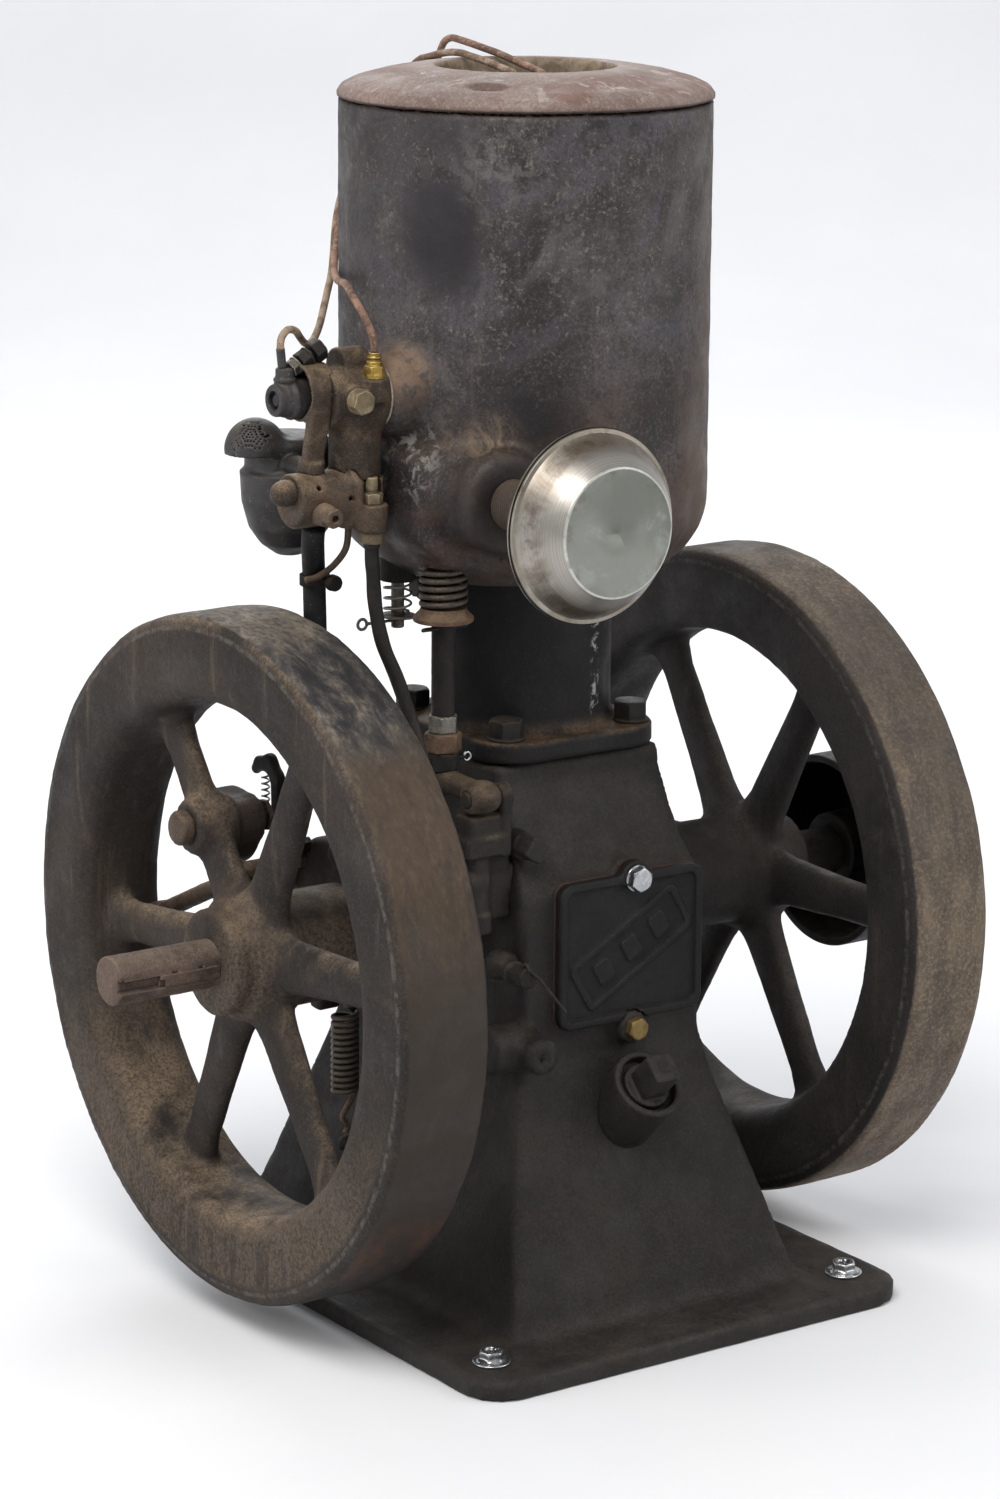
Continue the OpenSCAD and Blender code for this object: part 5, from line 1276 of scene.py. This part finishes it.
term = join(term, cz(3.4, 579, 584.3, -131, -38, rd=0.4), ring((-131, -38, 581.5), 2, 3.4, 0.8), k=0.5)
whole("terminal_nuts", "lead_terminal", term, 0.4, "brass_bright", amp=0.05, wave=2)

# igniter, strap and nuts
ign = join(bar((-187, -18.3, 558.5), (-180.5, -18.3, 558.5), 9.3, 9.5, 1.2), bar((-181.5, -18.3, 558.5), (-176, -18.3, 558.5), 9.5, 11.5, 0.8), cx(11.5, -177, -150, -18.3, 558.5, rd=1.2), k=2)
ign = cut(ign, cx(5.6, -190, -182.5, -18.3, 558.5), k=1.0)
ign = join(ign, cx(3.6, -185.5, -178, -18.3, 558.5, rd=1.0), k=0.6)
ign = join(ign, cz(5.5, 562, 577, -179, -18.3, rd=1.4), k=2.5)
ign = join(ign, cz(6.6, 569, 571.2, -179, -18.3, rd=0.6), k=0.8)
whole("igniter_body", "igniter", ign, 0.65, "bakelite", amp=0.12, wave=5)
strp = cut(cx(16.5, -172, -154.5, -20, 562, rd=0.5), cx(15, -174, -156.5, -20, 562))
leg = prism([(-31.5, 562), (-36, 552), (-34, 545), (-25.5, 515), (-27, 508), (-25, 505), (-18, 505), (-17, 509), (-19.5, 516), (-26, 545), (-26, 562)], 0, -171, -158, rd=2.2)
strp = join(strp, cut(leg, cx(15.2, -180, -150, -20, 562)), k=2.5)
strp = join(strp, bar((-164.5, -23.5, 523), (-164.5, -22.5, 514), 7.2, 8.2, 1.4), k=3)
strp = cut(strp, cx(11.7, -190, -150, -18.3, 558.5), cx(15.6, -190, -120, -24, 501), cx(15.6, -190, -120, -8, 496.5), cx(17.1, -158.05, -150, -24, 558))
whole("igniter_strap_bracket", "igniter_strap", strp, 0.7, "brown", amp=0.1, wave=5)
ax = np.array([math.sin(math.radians(62)), 0, math.cos(math.radians(62))])
o0 = np.array([-177, -19, 575.0])
at = lambda t: tuple(o0 + ax * t)
nb = join(bar(at(5.0), at(25.6), 3, 3, 0.5), hexbar(at(8), at(14.6), 10.6, 9, 0.5), bar(at(14.2), at(15.4), 6.2, 6.2, 0.4), hexbar(at(17.6), at(25.2), 12.2, 20, 0.9), k=0.6)
nb = cut(nb, cz(5.6, 540, 577.1, -179, -18.3), cx(16.6, -173, -154, -20, 562), cx(11.1, -147, -127, -20, 575))
nlo, nhi = room("igniter_nuts", 1.5)
small("igniter_terminal_nuts", "igniter_nuts", nb, nlo, nhi, 0.5, "dark")
nw = cut(join(hexbar(at(1.2), at(5.4), 9.0, 4, 0.4), bar(at(5.2), at(6.6), 5.4, 5.4, 0.3), k=0.3), cz(5.6, 540, 577.1, -179, -18.3))
small("igniter_terminal_washer", "igniter_nuts", nw, nlo, nhi, 0.45, "steel")
crimp = tube("lead_a_crimp", catmull([p for p in lead_a_route[:3]], 4), 2.55, 16)
crimp.data.materials.append(M["bakelite"])
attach(crimp, BODY["igniter_nuts"])

# mixer, plugs, fuel fitting
mix = join(cx(15.5, -169, -122, -8, 496.5, rd=1.6), cx(15.5, -180, -142, -24, 501, rd=1.8), cx(19.3, -146, -141.6, -24, 501, rd=1.6), cy(8, -38, -8, -133, 489, rd=1), cz(9.5, 481, 497, -133, -38, rd=1.4), k=4.5)
mix = join(mix, cz(17, 500, 510.95, -135.5, -24, rd=1.5), cx(17, -127, -122, -8, 496.5, rd=1), k=4)
mix = cut(mix, cz(4.4, 470, 520, -133, -38), cz(7.1, 497.05, 520, -133, -38), bar((-168, -44, 513), (-168, -34, 507), 1.5), bar((-148, -50, 503), (-148, -36, 501), 1.4))
whole("mixer_casting", "mixer_body", mix, 0.85, "brown", amp=0.13, wave=6)
plg = join(cx(7.5, -185.5, -180, -26, 506, rd=0.6), both(ball((-185.5, -26, 506), 7.5), box((-200, -50, 480), (-182, 0, 530))), k=1.5)
plg = join(plg, bar((-167, -31, 495), (-167, -47, 494), 7.2, 6.4, 1.0), hexbar((-167, -46, 494), (-167, -53, 493.6), 10.4, 8, 0.5), k=1.0)
plg = cut(plg, cx(15.55, -180.0, -120, -24, 501), bar((-167, -56, 493.6), (-167, -50, 493.6), 2.1))
whole("mixer_plug_set", "mixer_plugs", plg, 0.6, "brown")
fit = join(cz(4.35, 474, 497.1, -133, -38), hexbar((-133, -38, 497.1), (-133, -38, 503.5), 12, 10, 0.6), cz(3.6, 503, 512.5, -133, -38, rd=0.6), cz(7, 474, 480.9, -133, -38, rd=0.9), k=0.5)
whole("fuel_fitting_nut", "fuel_fitting", fit, 0.5, "pale", amp=0.05)
fuel_route = [[-133, -38, 473.9], [-133, -38, 468], [-132, -38, 455], [-131, -39, 436], [-127, -41, 414],
    [-120, -47, 391], [-115, -58, 359], [-115, -67, 330], [-115, -76, 303], [-112, -81, 284],
    [-105.5, -82, 276], [-98.1, -82, 275]]
Pf = catmull(fuel_route, 6)
rf = 4.2 + 0.12 * np.sin(np.arange(len(Pf)) * 0.9) + np.where(np.arange(len(Pf)) < 4, 0.5, 0)
place(tube("fuel_pipe_run", Pf, rf, 20), "fuel_pipe", M["dark"])
drip_route = [[-136, -18, 480.9], [-137, -17, 468], [-141, -10, 457], [-147, -3, 450], [-151, 4, 447]]
place(tube("drip_pipe", catmull(drip_route, 8), 2.0, 14), "drip_line", M["brown"])

# air horn
hr = lambda P: np.hypot(P[:, 0] + 136, P[:, 1] - 46)
bowl = spun(fillet([(0.0, 453), (8, 454.5), (17, 461), (24, 471), (28, 486), (29, 504), (25.6, 507.2), (0.0, 507.2)], [0, 5, 8, 9, 9, 0.7, 0.7, 0], 4), 2, (-136, 46))
neck = cz(25, 500, 526, -136, 46, rd=7)
hood = cut(ball((-159, 46, 519), 18.3), both(ball((-159, 46, 519), 16.7), lambda P: 25.4 - hr(P)), both(box((-200, 0, 470), (-120, 100, 516.2)), lambda P: 25.0 - hr(P)), k=0.6)
horn = join(bowl, join(neck, hood, k=5), cy(6, 1, 36, -147, 512, rd=0.5), k=1.2)
horn = cut(horn, cx(15.7, -171, -120, -8, 496.5))
whole("air_horn_shell", "air_horn", horn, 1.15, "bakelite", wear_and_shade_reach=(1.3, 5), amp=0.12, wave=9)

# breather hose and clamp
hose_route = [[-153, -8, 481.4], [-152, -5, 472], [-146, 4, 458], [-141, 11, 446], [-140, 12, 430],
    [-139, 12, 400], [-136, 12, 376], [-128, 12, 352], [-114, 11, 330], [-96, 10, 316], [-82, 10, 312], [-73, 10, 312]]
Ph = catmull(hose_route, 8)
Ph = Ph[Ph[:, 2] <= 479.9]
place(tube("breather_hose_run", Ph, 6.8, 24), "breather_hose", M["rubber"])
clf = cut(cz(9.0, 441.6, 448.6, -140.6, 11, rd=0.6), tubef(Ph, 6.9))
clf = join(clf, bar((-139.6, 2.6, 446), (-139.6, -5.5, 446), 3.3, 3.3, 0.8), bar((-139.6, -5.2, 446), (-139.6, -11, 446), 5, 4.6, 1.0), k=1.2)
whole("hose_clamp_band", "hose_clamp", clf, 0.6, "dark")

# valve gear
gd = cut(cz(10.8, 440, 463, VX, 4, rd=1.2), cz(3.95, 437, 458, VX, 4))
whole("intake_guide_boss", "intake_guide", gd, 0.8, "dark")
stm = join(cz(3.9, 411.5, 453, VX, 4, rd=0.8), cz(10.5, 418, 419.5, VX, 4, rd=0.4), k=1)
stm = join(stm, cx(1, -109, -70, 4, 416), cut(ring((-112, 4, 416), 1, 3.1, 0.95), box((-109.2, 2, 415), (-108, 6, 417))), k=0.4)
whole("intake_valve_stem", "intake_stem", stm, 0.5, "steel", amp=0.03)


def coil(rm, z0, z1, turns, per, c=(0, 0), flat=0.0):
    out = []
    n = int(turns * per)
    for i in range(n + 1):
        t = i / n
        if flat:
            t = (t - flat) / (1 - 2 * flat) if flat < t < 1 - flat else (0.0 if t <= flat else 1.0)
        a = 2 * math.pi * i / per
        out.append((c[0] + rm * math.cos(a), c[1] + rm * math.sin(a), z0 + (z1 - z0) * t))
    return out


place(tube("intake_spring_coil", coil(8, 420.4, 439.1, 3, 36, (VX, 4)), 0.75, 10), "intake_spring", M["steel"])
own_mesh(bpy.data.objects["intake_spring_coil"])
place(tube("exhaust_spring_coil", coil(12.7, 434.3, 456.4, 5.5, 40, (VX, -44), 0.07), 1.75, 16), "exhaust_spring", M["spring"])
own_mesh(bpy.data.objects["exhaust_spring_coil"])
st_ = spin("spring_seat_cup", fillet([(7.05, 424), (17.7, 424), (17.9, 426.5), (14, 430.4), (13.4, 432), (7.05, 432)], [0.3, 0.8, 0.8, 1.5, 0.6, 0.3], 4), (VX, -44, 0), (0, 0, 1), 96)
place(st_, "spring_seat", M["rusty"])
rod = join(cz(7, 337, 440, VX, -44, rd=0.8), cz(9.6, 334.6, 346, VX, -44, rd=1.2), k=1.5)
rod = join(rod, cx(1.3, -103, -70, -44, 340.5, rd=0.4), cx(1.3, -104, -72, -47, 420.6, rd=0.4), k=0.4)
whole("push_rod_bar", "push_rod", rod, 0.8, "dark", wear_and_shade_reach=(0.9, 3), amp=0.12, wave=6)
small("push_rod_pin_eye", "push_rod", ring((-69.6, -44, 340.5), 1, 2.4, 0.75), (-74, -47, 336), (-65, -41, 345), 0.4, "zinc", replaces=False, amp=0)
n1_ = cut(hexbar((VX, -44, 346.1), (VX, -44, 357.5), 20, 10, 0.9), cz(7.05, 340, 372, VX, -44))
n2_ = cut(hexbar((VX, -44, 357.5), (VX, -44, 368), 16, 20, 0.8), cz(7.05, 340, 372, VX, -44))
small("push_rod_nut_lower", "push_rod_nuts", n1_, (-100, -57, 344), (-74, -31, 360), 0.6, "rusty")
small("push_rod_nut_upper", "push_rod_nuts", n2_, (-98, -55, 355), (-76, -33, 370), 0.55, "steel")
lev = join(capsule((VX, -44, 329.5), (VX, -84, 327.5), 6.2, 7.2), capsule((VX, -84, 327.5), (VX, -91.5, 326.5), 7.4, 6.8), k=4)
lev = join(lev, cz(9.4, 323.5, 334, VX, -44, rd=1.6), k=4)
lev = join(lev, cx(8.6, -97.6, -77.9, -84, 326, rd=3.2), k=4)
lev = cut(lev, cx(5.05, -120, -60, -84, 326))
llo, lhi = room("exhaust_lever", 3)
small("exhaust_lever_forging", "exhaust_lever", lev, llo, lhi, 0.75, "lever", amp=0.16, wave=5)
brk = join(cx(5, -99, -72, -84, 326, rd=0.8), box((-76.5, -90.6, 290), (-69, -77.4, 326), 2.5), cx(7.5, -76.5, -69, -84, 326, rd=1), box((-80, -83, 250), (-62, -66, 283), 3),
           box((-80, -84, 280), (-66, -66, 302), 2.5), box((-97, -89, 303), (-76, -70, 315.5), 2.6), box((-101, -91, 291), (-72, -67, 303.5), 2.4), k=3)
brk = join(brk, cz(8.8, 254, 292, -88.4, -79.6, rd=2), cz(7.6, 244, 256, -87, -82, rd=1.6), cx(7, -97, -84, -82, 275, rd=1), k=2.5)
brk = cut(brk, body, cx(9, -77, -60, -88, 224))
whole("lever_bracket_casting", "lever_bracket", brk, 1.0, "bracket", wear_and_shade_reach=(1.1, 4), amp=0.16, wave=7)
hook = join(capsule((-121.1, 82, 254), (-121.1, 84, 307), 5.5, 5.2), capsule((-121.1, 84, 307), (-121.1, 92, 314.8), 5.2, 5.8), capsule((-121.1, 92, 314.8), (-121.1, 104, 312.5), 5.8, 4.2),
            capsule((-121.1, 104, 312.5), (-121.1, 108, 308.6), 4.2, 3.4), k=2.5)
hook = both(hook, box((-124, 60, 240), (-118.2, 130, 330), 0.2), k=1.6)
hook = join(hook, cx(6, -118.4, -116, 84, 246, rd=0.5), cx(5.2, -126.2, -123.5, 82.5, 256, rd=0.8), k=1.0)
hook = both(hook, box((-124, 60, 238), (-116, 130, 330)))
small("latch_hook", "latch_arm", hook, (-126, 70, 238), (-114, 114, 323), 0.75, "dark")
place(tube("latch_coil", [(x - 121, y + 98, z) for x, y, z in coil(2.3, 276, 307, 8, 14)], 0.62, 8), "latch_arm", M["steel"])
place(tube("pull_spring_coil", [(x - 94, y + 51, z) for x, y, z in coil(7.2, 111, 162, 13, 24)] + [(-94 + 4.5, 51, 165), (-94, 51, 167.6)], 1.7, 12), "pull_spring", M["spring"])
place(tube("pull_spring_hook", [(x - 94, y + 51, z) for x, y, z in catmull([[7.2, 0, 112], [5, 0, 106], [1, 0, 101], [-2, 0, 95], [2, 0, 89], [0, 0, 84.8]], 6)], 1.8, 12), "pull_spring", M["rusty"])

# crankshaft, key, pulley
stub = cut(cx(14.6, -282, -205, YC, ZC, rd=1.3), moved(box((-2, -20, -4), (70.1, -10.8, 4), 0.3), (-284, YC, ZC), (1, 0, 0), 6))
small("crankshaft_stub", "crankshaft", stub, (-284, -3, 207), (-203, 29, 239), 0.85, "stub", amp=0.13, wave=5)
sh = spin("crankshaft_main", fillet([(0.01, -205), (14.9, -205), (14.9, 335.9), (0.01, 335.9)], [0, 0.3, 1.2, 0], 3), (0, YC, ZC), (1, 0, 0), 80)
place(sh, "crankshaft", M["dark"])
key = moved(box((0, -14.15, -3.95), (41.1, -11.05, 3.95), 0.7), (-255, YC, ZC), (1, 0, 0), 6)
key = cut(key, moved(box((-3, -16, -6), (3.5, -12.4, 1), 0.8), (-255, YC, ZC), (1, 0, 0), 6), k=1)
small("crank_key_piece", "crank_key", key, (-257, -3, 214), (-212, 4, 230), 0.55, "stub", amp=0.22, wave=3)
PUL = [(15.1, 254), (24, 254), (24, 300), (57.5, 300), (57.5, 248), (62.5, 248), (62.5, 328), (57.5, 328), (57.5, 308), (24, 308), (24, 328), (15.1, 328)]
pl = spin("belt_pulley_casting", fillet(PUL, [0.5, 3, 9, 9, 1.5, 1.5, 1.5, 1.5, 9, 9, 3, 0.5], 5), (0, YC, ZC), (1, 0, 0), 160)
place(pl, "belt_pulley", M["dark"])

# governor
gy, gz = 13 + 85 * math.cos(ga), 223 + 85 * math.sin(ga)
gb = join(bar((-207, gy, gz), (-198.2, gy, gz), 10.2, 11, 2.6), cx(6.95, -199, -143, gy, gz), hexbar((-146.5, gy, gz), (-143, gy, gz), 18, 0, 0.6), k=1)
whole("governor_pivot_bolt", "governor_bolt", gb, 0.8, "brown", wear_and_shade_reach=(1.0, 3), amp=0.25, wave=4)
gw = join(cx(12.5, -169, -150, gy, gz, rd=2.2), cx(22.5, -169, -150, gy + 17.5, gz - 8.4, rd=2.5), prism([(gy + 1.9, gz + 12.3), (gy + 24, gz + 13.2), (gy + 12.8, gz - 30.4), (gy - 8.5, gz - 9.2)], 0, -169, -150, rd=2.2), k=4)
gw = cut(gw, cx(7.1, -180, -140, gy, gz))
whole("governor_weight_casting", "governor_weight", gw, 1.0, "brown_dark", wear_and_shade_reach=(1.2, 4), amp=0.2, wave=6)
lk = tubef([(-158, 162.4, 209.9), (-158, 108, 236), (-158, 45, 262)], 5.5)
lk = join(lk, cx(7, -180, -152.5, 162.4, 209.9, rd=1), cx(6.5, -180, -152.5, 43, 265, rd=1), k=4)
lk = cut(lk, local(join(*[arm_field(a) for a in (-5, 55, 115)]), -WIN, -1), local(spun(RIM, 0, (0, 0)), -WIN, -1), cx(37.05, -220, -100, YC, ZC))
whole("governor_link_bar", "governor_link", lk, 0.95, "brown", wear_and_shade_reach=(1.0, 3), amp=0.14, wave=5)

# screws that hold the base down, and small details of the frame
for i, (bx, by) in enumerate([(-131, -161), (131, -161), (131, 161), (-131, 161)]):
    sc = join(cz(11.3, 12.0, 13.6, bx, by, rd=0.5), bar((bx, by, 13.2), (bx, by, 15.2), 9.4, 7.2, 0.4), hexbar((bx, by, 14), (bx, by, 19.8), 13, 12 + 17 * i, 0.6), cz(5.3, 1, 12.5, bx, by, rd=0.6), k=0.7)
    sc = cut(sc, cz(4.0, 18.2, 24, bx, by), k=1.0)
    sc = join(sc, moved(box((-4, -0.7, 0), (4, 0.7, 1.0), 0.2), (bx, by, 18), (0, 0, 1), 30 + 25 * i), k=0.3)
    small("base_screw_%d" % i, "frame", sc, (bx - 13, by - 13, 0), (bx + 13, by + 13, 21), 0.6, "zinc", replaces=False, amp=0)
pin = tubef([(-76, -117, 228), (-71, -121, 223), (-66, -127, 214), (-60, -132, 204)], 0.95)
small("petcock_pin", "petcock", join(pin, ring((-77, -116, 229), 0, 2.4, 0.8), k=0.5), (-80, -135, 200), (-57, -112, 235), 0.5, "dark", replaces=False, amp=0)
small("barrel_plug", "cylinder", join(cx(9.2, -62, -48, 18, 431, rd=2.5), hexbar((-61, 18, 431), (-66, 18, 431), 12, 0, 0.8), k=1.5), (-70, 6, 419), (-44, 30, 443), 0.7, "dark", replaces=False)
small("timing_cover_bolt", "timing_housing", hexbar((-108, 74, 257), (-115, 74, 257), 10, 7, 0.6), (-118, 66, 249), (-106, 82, 265), 0.5, "pale", replaces=False)
small("timing_cover_nut", "timing_housing", join(hexbar((-108, 69, 267), (-119, 69, 267), 9, 22, 0.6), cx(3.4, -122, -118, 69, 267, rd=0.6), k=0.5), (-123, 62, 260), (-106, 76, 274), 0.5, "dark", replaces=False)

# ------------------------------------------------------------------ every carried-over CAD node gets its look
LOOK = {"intake_manifold": "brown", "manifold_bolt": "brass", "lead_terminal": "brass", "igniter": "bakelite", "igniter_strap": "brown",
        "igniter_nuts": "steel", "mixer_body": "brown", "mixer_plugs": "brown", "fuel_fitting": "steel", "fuel_pipe": "dark",
        "drip_line": "brown", "air_horn": "bakelite", "breather_hose": "rubber", "hose_clamp": "steel", "intake_guide": "dark",
        "intake_stem": "steel", "intake_spring": "steel", "exhaust_spring": "rusty", "spring_seat": "rusty", "push_rod": "dark",
        "push_rod_nuts": "steel", "exhaust_lever": "dark", "lever_bracket": "dark", "latch_arm": "dark", "pull_spring": "rusty",
        "crankshaft": "dark", "crank_key": "stub", "belt_pulley": "dark", "governor_weight": "brown", "governor_bolt": "brown",
        "governor_link": "brown"}
for n, ob in frame["nodes"].items():
    key = LOOK.get(n, "dark")
    obs = ob if isinstance(ob, (list, tuple)) else [ob]
    for o in obs:
        if getattr(o, "data", None) is not None and hasattr(o.data, "materials"):
            for i in range(max(1, len(o.data.materials))):
                if len(o.data.materials) == 0:
                    o.data.materials.append(M[key])
                else:
                    o.data.materials[i] = M[key]
